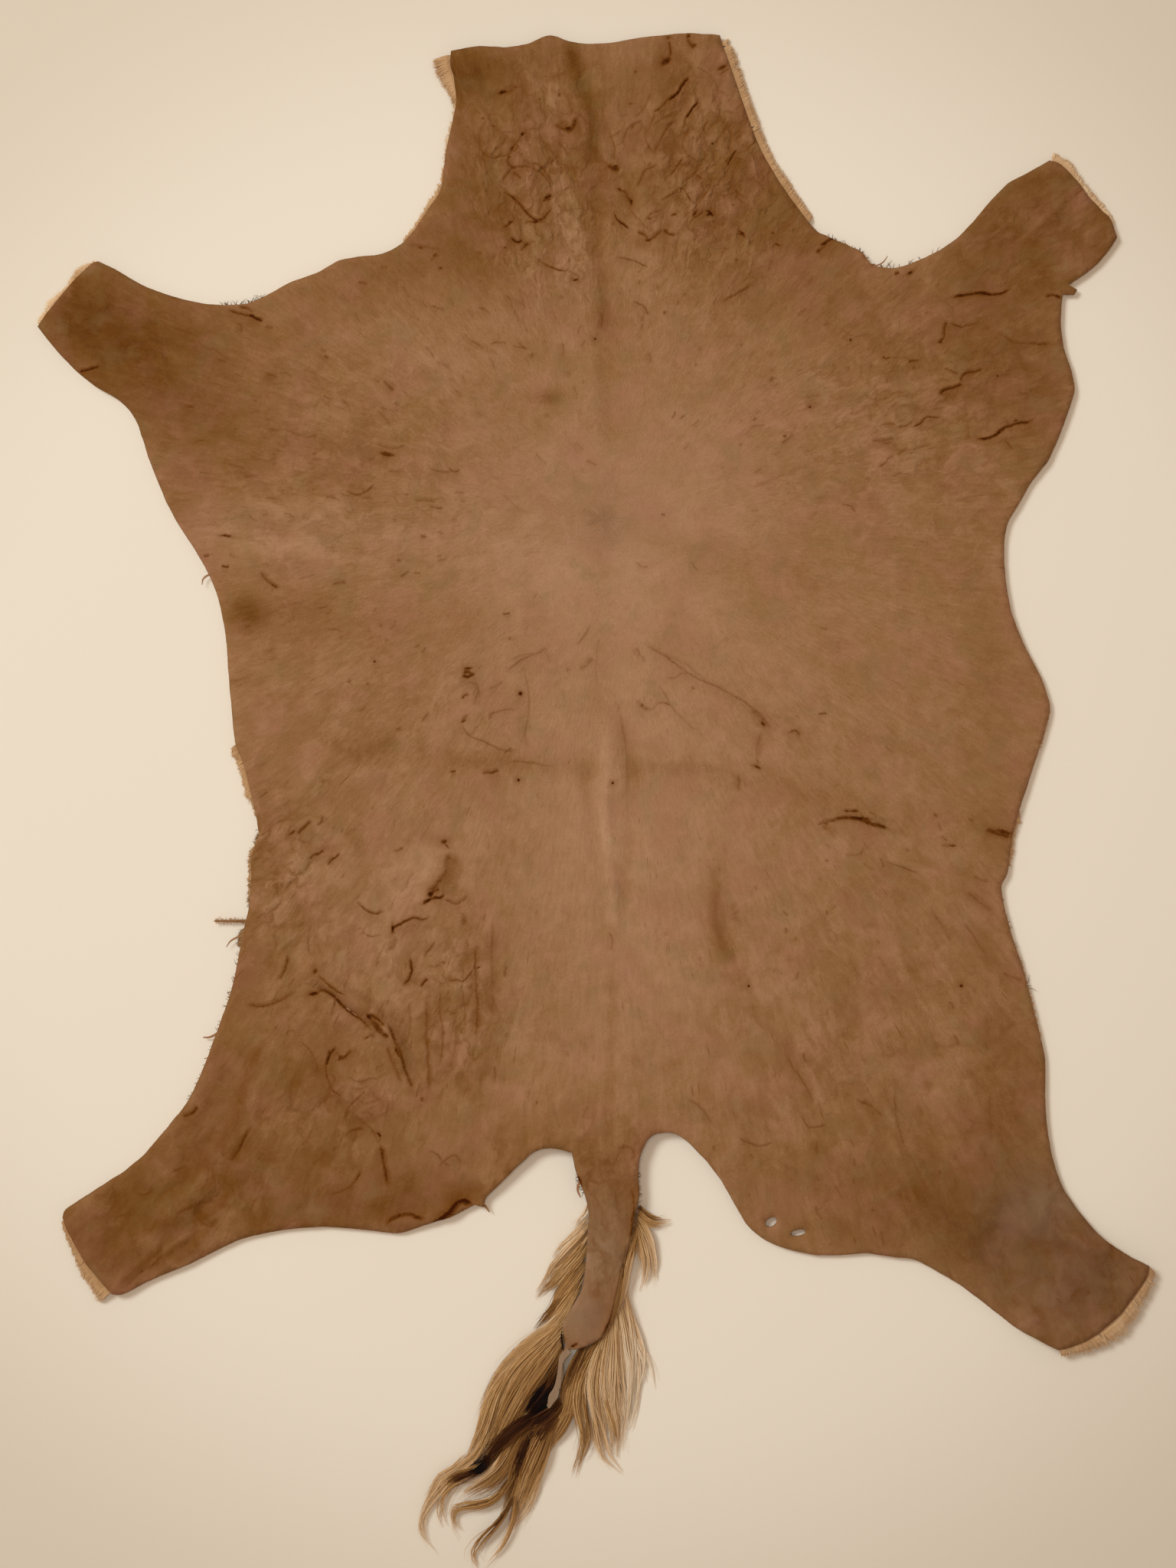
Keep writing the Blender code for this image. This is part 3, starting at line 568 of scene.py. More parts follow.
    ("open", 0.55, 1, -286, -280, -278, -276, -273, -283, -265, -280),
    # left hind leg
    ("deep", 0.4, 1, -245, -354, -240, -357, -235, -362, -234, -370),
    ("fine", 0.47, 1, -256, -338, -248, -337, -242, -341, -237, -352),
    ("open", 1.49, 1.6, -232, -370, -230, -384, -227, -400, -224, -416),
    ("slit", 1.05, 1.3, -185, -449, -196, -447, -205, -444, -215, -446, -223, -450, -228, -458),
    ("open", 2.03, 1.5, -138, -436, -145, -431, -151, -431, -158, -436, -164, -444, -174, -450,
     -184, -452),
    ("fine", 0.74, 1, -177, -396, -167, -386, -156, -382, -149, -392),
    ("fine", 1.01, 1, -185, -376, -175, -381, -169, -389, -161, -393),
    ("open", 0.27, 1, -197, -295, -191, -303, -185, -311),
    ("soft", 0.2, 1, -280, -321, -267, -324, -258, -313, -256, -303),
    ("soft", 1.35, 1, -406, -455, -420, -471, -433, -485, -449, -495),
    ("soft", 1.35, 1, -386, -420, -398, -433, -409, -444, -420, -452),
    ("open", 1.15, 1.3, -439, -341, -428, -337, -422, -330),
    ("open", 0.61, 1, -449, -398, -441, -395, -433, -392),
    # rump
    ("soft", 1, 1, 110, -79, 112, -100, 112, -120, 111, -139, 115, -156, 125, -171, 133, -188),
    ("soft", 1, 1, 128, -121, 131, -131, 133, -144),
    # left hind leg
    ("soft", 1.35, 1.6, -342, -254, -358, -281, -370, -309, -376, -337, -390, -365, -409, -389,
     -433, -410),
    ("open", 0.94, 1.4, -392, -391, -386, -383, -376, -365, -368, -349),
    ("open", 0.74, 1.2, -401, -444, -407, -456, -419, -452, -423, -442),
    ("open", 0.68, 1.3, -449, -452, -441, -440, -425, -432, -409, -424),
    ("soft", 1.22, 0.9, -503, -517, -489, -500, -473, -488, -457, -472),
    ("open", 0.61, 1.2, -499, -521, -485, -504, -467, -492, -451, -478),
    ("soft", 1.22, 0.8, -481, -511, -465, -492, -445, -476, -425, -464),
    ("fine", 1.08, 1, -485, -420, -477, -422, -467, -416),
    ("fine", 0.81, 1.2, -512, -452, -501, -444, -489, -442),
    ("fine", 1.08, 1.3, -288, -422, -273, -418, -261, -408, -253, -393),
    ("fine", 1.22, 1.2, -288, -281, -289, -297, -282, -315, -273, -319),
    ("fine", 0.94, 1, -273, -345, -267, -333, -259, -323, -251, -317),
    ("fine", 1.08, 1.2, -273, -365, -263, -355, -249, -355),
    # neck, right half
    ("fine", 0.94, 1.2, 15, 662, 21, 676, 37, 684),
    ("fine", 1.22, 1.3, 43, 690, 53, 696, 69, 712, 79, 724),
    ("fine", 0.94, 1.2, 75, 670, 81, 688, 91, 700),
    ("fine", 1.22, 1.3, 45, 647, 57, 670, 69, 686),
    ("fine", 0.94, 1.2, 89, 658, 99, 678, 106, 684),
    ("fine", 0.94, 1.2, 29, 613, 37, 631, 53, 639),
    ("fine", 1.22, 1.2, 61, 625, 73, 639, 77, 647),
    ("fine", 1.08, 1.2, 77, 621, 89, 629, 93, 639),
    ("fine", 0.94, 1.2, 108, 658, 116, 670, 128, 682),
    ("fine", 0.94, 1, 37, 579, 47, 589, 57, 591),
    # foot of the neck
    ("fine", 1.08, 1.2, 116, 496, 136, 508, 148, 516),
    # neck, left half
    ("fine", 1.08, 1.3, -112, 611, -106, 627, -92, 637, -70, 631, -58, 615, -60, 603),
    ("fine", 0.68, 1.6, -114, 698, -129, 674, -131, 647, -121, 641),
    # rump
    ("fine", 0.9, 1, 185, -274, 190, -290, 203, -308, 212, -326),
    ("fine", 0.8, 1.2, 199, -340, 208, -353, 226, -349),
    ("fine", 0.7, 1.2, 253, -322, 271, -331, 285, -344),
    ("fine", 0.7, 1.3, 296, -317, 298, -344, 307, -376),
    # right flank
    ("fine", 0.8, 1, 285, -78, 307, -87, 321, -92),
    ("open", 0.5, 1.3, 334, -128, 348, -150, 357, -164),
    ("fine", 0.9, 1.2, 366, -141, 379, -159, 393, -182),
    ("fine", 0.9, 1.2, 370, -110, 393, -128),
    # rump
    ("fine", 0.8, 1.2, 81, -322, 99, -335, 109, -353),
    ("fine", 0.8, 1.2, 131, -362, 154, -371, 172, -367),
    # loin
    ("fine", 0.9, 1, 2, -151, 5, -162, 4, -173),
    # right hind leg
    ("open", 0.45, 1.2, 357, -479, 366, -487, 375, -492),
    ("fine", 0.6, 1.4, 396, -311, 394, -339, 397, -372),
    # left fore leg
    ("open", 0.5, 1, -554, 517, -546, 518),
    ("fine", 0.6, 1, -507, 477, -497, 473, -485, 475),
    ("fine", 0.6, 1.2, -497, 465, -480, 457, -467, 448),
    ("fine", 0.5, 1, -490, 448, -477, 450, -467, 443),
    ("fine", 0.7, 1, -448, 470, -435, 467, -423, 462),
    ("fine", 0.9, 1, -423, 457, -413, 450, -404, 448),
    ("fine", 0.9, 1, -403, 438, -391, 435),
    # left shoulder
    ("open", 0.7, 1, -381, 475, -377, 472, -376, 464),
    ("open", 0.9, 1, -393, 490, -378, 485, -361, 481),
    # left thigh
    ("fine", 0.8, 1.3, -170, -204, -172, -230, -169, -262, -173, -296),
    ("fine", 0.7, 1.3, -146, -176, -149, -206, -146, -240, -148, -270),
    ("fine", 0.7, 1.3, -205, -222, -202, -246, -207, -272),
    ("soft", 0.5, 1, -322, -128, -330, -150, -334, -176, -331, -200),
    ("soft", 0.5, 1, -282, -132, -288, -154, -292, -178),
    ("fine", 0.8, 1, -304, -142, -308, -160, -306, -178),
    ("open", 0.8, 1, -258, -118, -250, -128, -240, -132, -228, -130),
    ("fine", 0.8, 1, -254, -150, -244, -156, -232, -154),
    ("fine", 0.9, 1, -318, -262, -308, -272, -300, -286, -297, -300),
    ("soft", 0.5, 1, -352, -262, -344, -282, -342, -304),
    ("fine", 0.8, 1, -268, -300, -256, -306, -244, -302, -232, -306),
    ("fine", 0.7, 1, -262, -322, -248, -328, -234, -322),
    # rump
    ("soft", 0.15, 1, -74, -123, -76, -147, -74, -179),
    ("open", 0.75, 1.5, -134, -158, -135, -190, -133, -226, -134, -270),
    ("open", 0.55, 1.5, -116, -140, -118, -172, -117, -206, -117, -246),
    ("open", 0.75, 1.5, -184, -215, -185, -250, -183, -286, -184, -325),
    ("open", 0.5, 1.5, -152, -240, -156, -269, -161, -300),
    # flap
    ("fine", 0.75, 1.3, 30, 149, 60, 132, 88, 112, 115, 100, 131, 91, 151, 78, 164, 62, 171, 58),
    ("open", 0.5, 1, 159, 57, 156, 43, 154, 29, 156, 19, 151, 14),
    ("soft", 0.4, 1, 28, 23, 68, 19, 100, 19, 131, 9),
    ("fine", 0.5, 1, 52, 106, 68, 78, 88, 58, 100, 58),
    ("open", 0.4, 1, 30, 88, 44, 78, 52, 84, 68, 84),
    # backbone
    ("fine", 0.45, 1.6, 7, 94, 13, 74, 18, 47, 21, 19, 21, -20),
    ("fine", 0.35, 1.4, -9, 153, -11, 126, -11, 100),
    # loin
    ("fine", 0.8, 1, -152, 66, -145, 53, -134, 47, -106, 35, -90, 37),
    ("fine", 0.6, 1, -126, 70, -106, 77, -92, 77),
    ("fine", 0.8, 1, -106, 114, -90, 128, -70, 136, -62, 144),
    ("fine", 0.7, 1, -148, 106, -134, 102, -136, 82, -141, 78),
    ("fine", 0.6, 1, -106, 22, -90, 24, -54, 18),
    # left shoulder
    ("open", 0.8, 1, -184, 539, -179, 543, -173, 546),
    ("deep", 0.45, 1, -258, 517, -252, 517, -246, 515),
    ("open", 0.4, 1, -235, 532, -226, 533),
    ("fine", 0.8, 1, -182, 493, -167, 488),
    ("fine", 0.8, 1, -134, 491, -127, 489, -120, 484),
    ("fine", 0.9, 1, -142, 458, -134, 454, -127, 447),
    ("fine", 0.8, 1, -122, 453, -113, 455, -103, 454),
    ("open", 0.4, 1, -296, 449, -289, 445),
    ("fine", 0.8, 1, -408, 449, -401, 445, -388, 436),
    ("fine", 0.8, 1, -353, 423, -346, 422, -340, 419),
    ("fine", 0.6, 1, -274, 397, -268, 391, -263, 383),
    ("fine", 0.6, 1, -122, 440, -118, 433, -116, 427),
    ("fine", 0.7, 1, -99, 451, -90, 450, -81, 448),
    ("deep", 0.4, 1, -353, 472, -344, 470),
    ("fine", 0.6, 1.2, -330, 366, -312, 358, -296, 362),
    ("fine", 0.6, 1.2, -240, 352, -222, 346, -206, 351),
    ("fine", 0.6, 1.2, -370, 340, -352, 334, -340, 338),
    # right shoulder
    ("fine", 0.6, 1, 285, 438, 300, 440, 318, 437),
    ("open", 0.5, 1, 297, 338, 304, 345, 310, 347),
    ("soft", 0.3, 1, 335, 510, 334, 484, 332, 459),
    ("fine", 0.5, 1, 337, 445, 342, 431),
    ("fine", 0.5, 1, 389, 421, 400, 421),
    ("open", 0.4, 1, 257, 548, 268, 550, 276, 542),
    ("fine", 0.5, 1.2, 240, 470, 252, 462, 268, 464),
    ("fine", 0.5, 1.2, 262, 404, 276, 396, 290, 400),
    # left hind leg
    ("fine", 1.08, 1, -287, -296, -280, -304, -284, -314, -272, -321),
    ("open", 0.74, 1, -262, -340, -252, -346, -243, -355, -232, -373),
    ("soft", 0.54, 1, -311, -402, -321, -412, -331, -424),
    ("open", 0.47, 1.2, -454, -479, -467, -489, -480, -498, -504, -518),
    ("open", 0.47, 1.2, -430, -429, -421, -439, -415, -446, -403, -454),
    # neck, left half
    ("open", 0.5, 1, -112, 714, -98, 718, -87, 717, -81, 698, -93, 686),
    ("fine", 1.08, 1, -100, 670, -93, 654, -112, 645, -128, 651),
    ("open", 0.55, 1, -62, 638, -58, 613, -65, 588, -81, 572),
    # neck, right half
    ("fine", 0.81, 1, 2, 673, 7, 656, 8, 638),
    ("fine", 0.81, 1, 14, 613, 27, 588, 46, 566),
    ("fine", 0.94, 1, 46, 714, 38, 696, 27, 683),
    ("fine", 0.81, 1, 90, 739, 98, 735, 109, 727),
    ("fine", 0.94, 1, 52, 695, 40, 664, 52, 645),
    ("fine", 0.94, 1, 90, 683, 77, 657, 96, 638),
    ("fine", 0.81, 1, 115, 676, 113, 660, 109, 645),
    ("fine", 0.94, 1, 141, 651, 128, 619, 147, 600),
    ("fine", 1.08, 1, 52, 600, 66, 608, 77, 613, 90, 594),
    ("fine", 0.94, 1, 109, 626, 104, 613, 96, 600),
    ("fine", 0.94, 1, 71, 638, 65, 630, 58, 619),
    # foot of the neck
    ("open", 0.45, 1, -43, 531, -34, 526, -24, 518),
    ("fine", 0.94, 1, -93, 556, -84, 558, -74, 559),
    ("open", 0.5, 1, -207, 556, -188, 554, -169, 550),
    # tail
    ("open", 0.55, 1, 9, -376, 17, -371, 25, -374, 28, -382, 21, -387),
    ("deep", 1, 1, -31, -400, -28, -408, -28, -417),
    ("open", 1, 1, 25, -412, 28, -431, 25, -455, 21, -471),
    ("slit", 1, 1, -9, -570, 2, -550, 8, -531, 13, -509, 16, -493),
    ("deep", 0.9, 1, -36, -576, -33, -574, -30, -575),
    ("open", 1, 1, -46, -586, -46, -575, -47, -567, -51, -558),
)

# Dark cores of the creases and small dots, painted shade in these hollows: x, y, half length, half
# width, turn, darkness
darkSpots = (
    (-90, 93, 2.2, 2.2, 0, 1), (-92, 4, 1.5, 1.5, 0, 1), (5, 1, 1.3, 1.3, 0, 1),
    (-240, 126, 1.2, 1.2, 0, 1), (364, -208, 2.0, 1.8, 0, 1), (145, -208, 1.2, 1.2, 0, 1),
    (208, 388, 1.5, 1.2, 0, 0.8), (250, 457, 1.5, 1.5, 0, 0.8), (401, 420, 1.3, 1.3, 0, 0.8),
    (284, 439, 1.1, 1.1, 0, 0.8), (-13, 458, 1.2, 1.2, 0, 0.9), (-36, -577, 2.2, 1.5, 10, 1),
    # neck, left of the backbone
    (-108.5, 712, 5, 1.8, 16, 0.95), (-95, 716.5, 1.8, 1.1, 20, 0.6), (-41, 675, 5, 2.0, 8, 1),
    (-45, 679.5, 7.5, 5, -25, 0.34), (-88, 668.7, 2.8, 1.8, 45, 0.85),
    (-98.5, 654.6, 3.2, 1.4, 55, 0.8), (-101.5, 645.5, 1.7, 1.3, 0, 0.75),
    (-61.7, 604.2, 4.8, 1.9, 25, 0.95), (-50, 709, 2.4, 2.0, 0, 0.4), (-70, 705, 1.5, 1.5, 0, 0.4),
    (-128.5, 685, 2.0, 1.4, 0, 0.5), (-118, 677, 2.4, 1.2, -20, 0.5),
    (-74, 579, 4.2, 1.8, 12, 0.9), (-100, 578, 3.4, 1.5, 30, 0.7), (-84, 556, 3.2, 1.3, 30, 0.75),
    (-33, 519, 3.2, 1.2, 10, 0.8), (-106, 552, 1.8, 1.2, 0, 0.6), (-172, 531, 2.4, 1.6, 0, 0.6),
    (-178, 545, 3.2, 1.2, 30, 0.6), (-193, 552, 3.4, 1.1, -20, 0.6),
    # neck, right half
    (59.8, 743.8, 6.5, 3.6, 35, 0.88), (88.3, 759.8, 4, 2.8, 20, 0.6),
    (83.2, 770, 2.5, 2.5, 0, 0.65), (62, 768.6, 2, 3.2, 0, 0.5), (117.5, 737.2, 6, 1.8, 25, 0.8),
    (12, 612, 3.4, 1.2, -25, 0.75), (24, 599, 1.7, 4.2, 0, 0.85), (7.2, 635.6, 3.8, 1.7, 10, 0.8),
    (89.5, 587.5, 4.4, 1.5, 55, 0.85), (104.4, 589, 4.2, 1.5, -15, 0.9),
    (138, 567, 4.2, 1.7, -35, 0.9), (174.5, 555.3, 3.4, 1.3, -20, 0.75),
    (108, 659, 1.7, 1.4, 0, 0.8), (94, 624.7, 4.2, 1.3, -40, 0.6), (70.8, 637, 3.2, 1.0, 35, 0.55),
    (59, 630, 2.6, 1.6, 60, 0.4), (123, 642, 5, 1.1, 55, 0.6), (41.5, 559.7, 3, 1.6, 0, 0.7),
    (25.5, 676.6, 4.4, 2.2, 50, 0.4), (24, 700, 3.2, 1.1, 5, 0.5),
    (28.4, 732.8, 1.8, 1.6, 0, 0.55), (67.8, 586, 3.4, 1.4, 20, 0.65),
    (60.5, 570, 2.6, 1.4, -30, 0.5), (43, 581.6, 2.8, 1.1, 20, 0.55), (170, 567, 1.9, 1.6, 0, 0.6),
    (129, 596, 2.2, 1.4, 0, 0.4), (158.4, 590.4, 1.3, 1.3, 0, 0.5), (88, 665, 1.8, 1.4, 0, 0.4),
    (111, 637, 2.2, 1.2, 20, 0.35), (44, 586, 1.8, 1.2, 0, 0.4),
    # fore legs and shoulders
    (383.5, 505.8, 9, 1.4, 2, 1), (372, 505, 5, 1.1, 4, 0.6), (462, 502.5, 5, 1.1, -15, 0.85),
    (342.4, 454.8, 2.8, 1.6, 10, 0.8), (311, 526, 4.2, 1.4, 30, 0.85),
    (-228, 340.5, 6, 1.2, -8, 0.7), (-393, 255.5, 6.5, 1.2, -5, 0.75),
    (420, 374, 3.4, 1.2, 15, 0.7), (404, 364.5, 6, 1.3, 35, 0.75),
    # left thigh
    (-168.3, -59.4, 3.0, 2.3, 20, 0.85), (-182, -113.8, 3.8, 2.2, 50, 0.95),
    (-185, -119.8, 6.4, 1.7, 28, 0.9), (-221.5, -149, 1.5, 5.2, 0, 0.85),
    (-206, -150, 11, 7, 20, 0.16), (-303, -216, 5.6, 2.0, 10, 0.95),
    (-237, -250, 13, 4.2, -51, 0.62), (-245.5, -239.5, 4.2, 2.5, -50, 0.85),
    (-229, -258, 5, 2.6, -25, 0.7), (-216.5, -275, 6.5, 2.0, -63, 0.8),
    (-301, -192.5, 4.2, 3, 60, 0.6), (-204, -306, 7, 2.2, -65, 0.45),
    (-148, -141, 3.0, 5, 20, 0.35), (-235.5, -361, 3.4, 1.5, -50, 0.85),
    (-169, -184, 2.2, 1.3, 0, 0.5), (-133, -189, 2.4, 1.1, 40, 0.6), (-325, -50, 5, 1.2, 40, 0.7),
    (-297, -71, 7, 1.5, 35, 0.6), (-275, -281, 3.2, 2.2, 40, 0.6),
    (-287, -277, 2.0, 4.4, -20, 0.6),
    # flanks and rump
    (258, -35.5, 13, 1.7, -5, 1), (281, -43, 9, 1.8, -22, 0.75), (224, -44, 4, 5, 30, 0.3),
    (408, -49.5, 9, 2.4, -14, 0.8), (355, -63.5, 4, 1, 0, 0.7), (160, 62, 4, 2, -50, 0.7),
    (154, 17.5, 4, 1.5, -30, 0.75), (189, 53, 4, 1.6, 0, 0.35), (135, 4, 3, 5, 10, 0.3),
    (-144, 119, 4.4, 1.5, 5, 0.8), (-148, 65, 3.4, 1.3, 40, 0.6), (35, 81, 2.2, 1.0, 40, 0.5),
)

# Short nicks that follow the skin's grain, which runs out from the middle of the back.
# fields: x, y, half width, half height, share of the nicks, turn off the grain in degrees
nicks = {
    "count": 760,
    "seed": 11,
    "grainCentre": (-3, 272),
    "longest": 21.0,
    "shortest": 5.0,
    "stray": 15.0,          # degrees off the grain
    "bow": 0.09,            # share of the length
    "lipBelow": 0.2,        # share of nicks with the lip on their lower side
    "open": 0.12,           # share of nicks that gape
    "strength": (0.24, 0.56),   # least, and how much more at most
    "widen": 0.85,
    "fields": (
        (-230, 400, 150, 90, 14, 0),        # left shoulder
        (-330, 330, 130, 110, 9, 0),
        (-200, 250, 150, 60, 8, 0),
        (-110, 480, 130, 60, 9, 0),         # foot of the neck
        (180, 400, 130, 90, 12, 0),         # right shoulder
        (300, 400, 110, 110, 9, 0),
        (95, 650, 70, 90, 12, -45),         # neck, right half
        (-75, 640, 60, 90, 9, 35),          # neck, left half
        (120, 540, 120, 50, 6, 0),
        (-270, 130, 120, 80, 8, 0),         # left flank
        (-300, -60, 90, 90, 6, 0),
        (-250, -220, 110, 110, 10, 0),      # left thigh
        (-150, -330, 100, 90, 6, 0),
        (-330, -380, 120, 70, 5, 0),
        (300, -80, 110, 100, 6, 0),         # right flank
        (150, -160, 80, 130, 5, 0),
        (330, -300, 110, 120, 6, 0),        # right thigh
        (200, -420, 90, 50, 3, 0),
        (-500, 450, 70, 60, 3, 0),
        (420, 580, 70, 60, 3, 0),
        (470, -460, 70, 70, 3, 0),
        (60, 150, 150, 120, 3, 0)),
}


def shortNicks():
    dice = random.Random(nicks["seed"])
    weights = [field[4] for field in nicks["fields"]]
    rows = []
    while len(rows) < nicks["count"]:
        x, y, wide, high, share, turn = dice.choices(nicks["fields"], weights)[0]
        place = np.array([dice.gauss(x, wide * 0.62), dice.gauss(y, high * 0.62)])
        out = place - np.array(nicks["grainCentre"])
        heading = math.atan2(out[1], out[0]) + math.radians(turn + dice.gauss(0, nicks["stray"]))
        length = nicks["shortest"] + (nicks["longest"] - nicks["shortest"]) * dice.random() ** 2.2
        bow = dice.gauss(0, nicks["bow"]) * length
        ahead = np.array([math.cos(heading), math.sin(heading)])
        if ahead[0] < 0:        # the lip is on the upper side, more often than not
            ahead = -ahead
        if dice.random() < nicks["lipBelow"]:
            ahead = -ahead
        side = np.array([-ahead[1], ahead[0]])
        reach = ahead * length / 2
        path = np.array([place - reach, place + side * bow, place + reach])
        least, more = nicks["strength"]
        strength = least + more * dice.random() ** 1.3
        kind = "open" if dice.random() < nicks["open"] else "fine"
        rows.append((kind, strength, nicks["widen"], path))
    within = insideOutline(np.array([row[3][1] for row in rows]), coarseEdge)
    return [row for row, kept in zip(rows, within) if kept]


lineStep = 1.6      # mm between the points of a crease


def creaseLine(kind, path, number):
    # a line through the path's points that wanders a little, as a torn fibre does
    line = smoothPath(path, lineStep)
    if len(line) < 4:
        return line
    walked = np.arange(len(line)) * lineStep
    off = ripple(walked, 8.5, number * 1.7, 0.5) + 0.5 * ripple(walked, 3.4, number * 1.7, 4.5)
    ends = smoothStep(np.minimum(walked, walked[::-1]) / 6.0)
    return line + leftOf(line) * (off * ends * creaseKinds[kind]["wobble"] * 1.1)[:, None]


handCreases = [(kind, strength, widen, pairs(path)) for kind, strength, widen, *path in creases]
creaseRows = [(kind, creaseLine(kind, path, number), strength, creaseKinds[kind]["half"] * widen)
              for number, (kind, strength, widen, path) in enumerate(handCreases + shortNicks())]
print("creases:", len(creases), "by hand,", len(creaseRows) - len(creases), "nicks")

# The skin's net: fine along each crease, even in between
skinNet = {
    "grid": 5.4,
    "jitter": 0.9,
    "edgeRoom": 3.4,        # from the cut edge, on the even net
    "creaseEdgeRoom": 1.2,  # from the cut edge, along a crease
    "creaseRoom": 3.0,      # from a crease to the even net
    "closest": 0.85,
    "undersideGrid": 12.0,
    "undersideRoom": 4.0,
    "grainRise": 0.95,      # mm, waves along the grain of wrinkled skin
    "deepest": -1.45,       # mm, so that a crease never cuts through
    "seed": 3,
}


class takenPlaces:
    # keeps points apart with a coarse lookup grid
    def __init__(self, cell):
        self.cell = cell
        self.cells = {}

    def near(self, place, room):
        reach = math.ceil(room / self.cell)
        i, j = int(place[0] // self.cell), int(place[1] // self.cell)
        for a in range(i - reach, i + reach + 1):
            for b in range(j - reach, j + reach + 1):
                for other in self.cells.get((a, b), ()):
                    if math.hypot(place[0] - other[0], place[1] - other[1]) < room:
                        return True
        return False

    def add(self, place):
        key = (int(place[0] // self.cell), int(place[1] // self.cell))
        self.cells.setdefault(key, []).append(place)


def creasePoints(taken):
    points = []
    for kind, path, strength, half in creaseRows:
        line = path[::3] if kind == "soft" else path
        left = leftOf(line)
        for share in creaseKinds[kind]["across"]:
            for place in line + left * half * share:
                if not taken.near(place, skinNet["closest"]):
                    taken.add(place)
                    points.append(place)
    for x, y, long, wide, turn, dark in darkSpots:
        turn = math.radians(turn)
        for ring, count in ((0, 1), (0.55, 6), (1.0, 9), (1.6, 10)):
            for k in range(count):
                u = ring * long * math.cos(math.tau * k / count)
                v = ring * wide * math.sin(math.tau * k / count)
                place = np.array([x + u * math.cos(turn) - v * math.sin(turn),
                                  y + u * math.sin(turn) + v * math.cos(turn)])
                if not taken.near(place, skinNet["closest"] * 0.6):
                    taken.add(place)
                    points.append(place)
    return np.array(points)


def evenPoints(step, jitter, seed):
    dice = np.random.default_rng(seed)
    low, high = hideEdge.min(axis=0), hideEdge.max(axis=0)
    rows = np.arange(low[1], high[1], step * math.sqrt(0.75))
    columns = np.arange(low[0], high[0], step)
    x, y = np.meshgrid(columns, rows)
    x = x + (np.arange(len(rows)) % 2)[:, None] * step / 2
    points = np.stack([x.ravel(), y.ravel()], axis=1)
    return points + dice.uniform(-jitter, jitter, points.shape)


def pointsInside(points, outline, room):
    # those inside the outline that keep their distance from every cut edge
    points = points[insideOutline(points, outline)]
    return points[[edgeTree.find((x, y, 0))[2] > room for x, y in points]]


def netOver(points, outlines):
    # flat triangles inside the first outline, with the other outlines left open,
    # and for each outline the numbers of its points in the net
    places, faces = [], []
    for outline in outlines:
        faces.append(list(range(len(places), len(places) + len(outline))))
        places += [Vector(place) for place in outline]
    places += [Vector(place) for place in points]
    net = delaunay_2d_cdt(places, [], faces, 1, 0.001, True)
    whereNow = {}
    for now, before in enumerate(net[3]):
        for old in before:
            whereNow[old] = now
    kept = [face for face, within in zip(net[2], net[5]) if within == [0]]
    used = sorted({index for face in kept for index in face})
    shift = {old: new for new, old in enumerate(used)}
    triangles = [[shift[index] for index in face] for face in kept]
    rims = [[shift[whereNow[index]] for index in face] for face in faces]
    return np.array([tuple(net[0][index]) for index in used]), triangles, rims


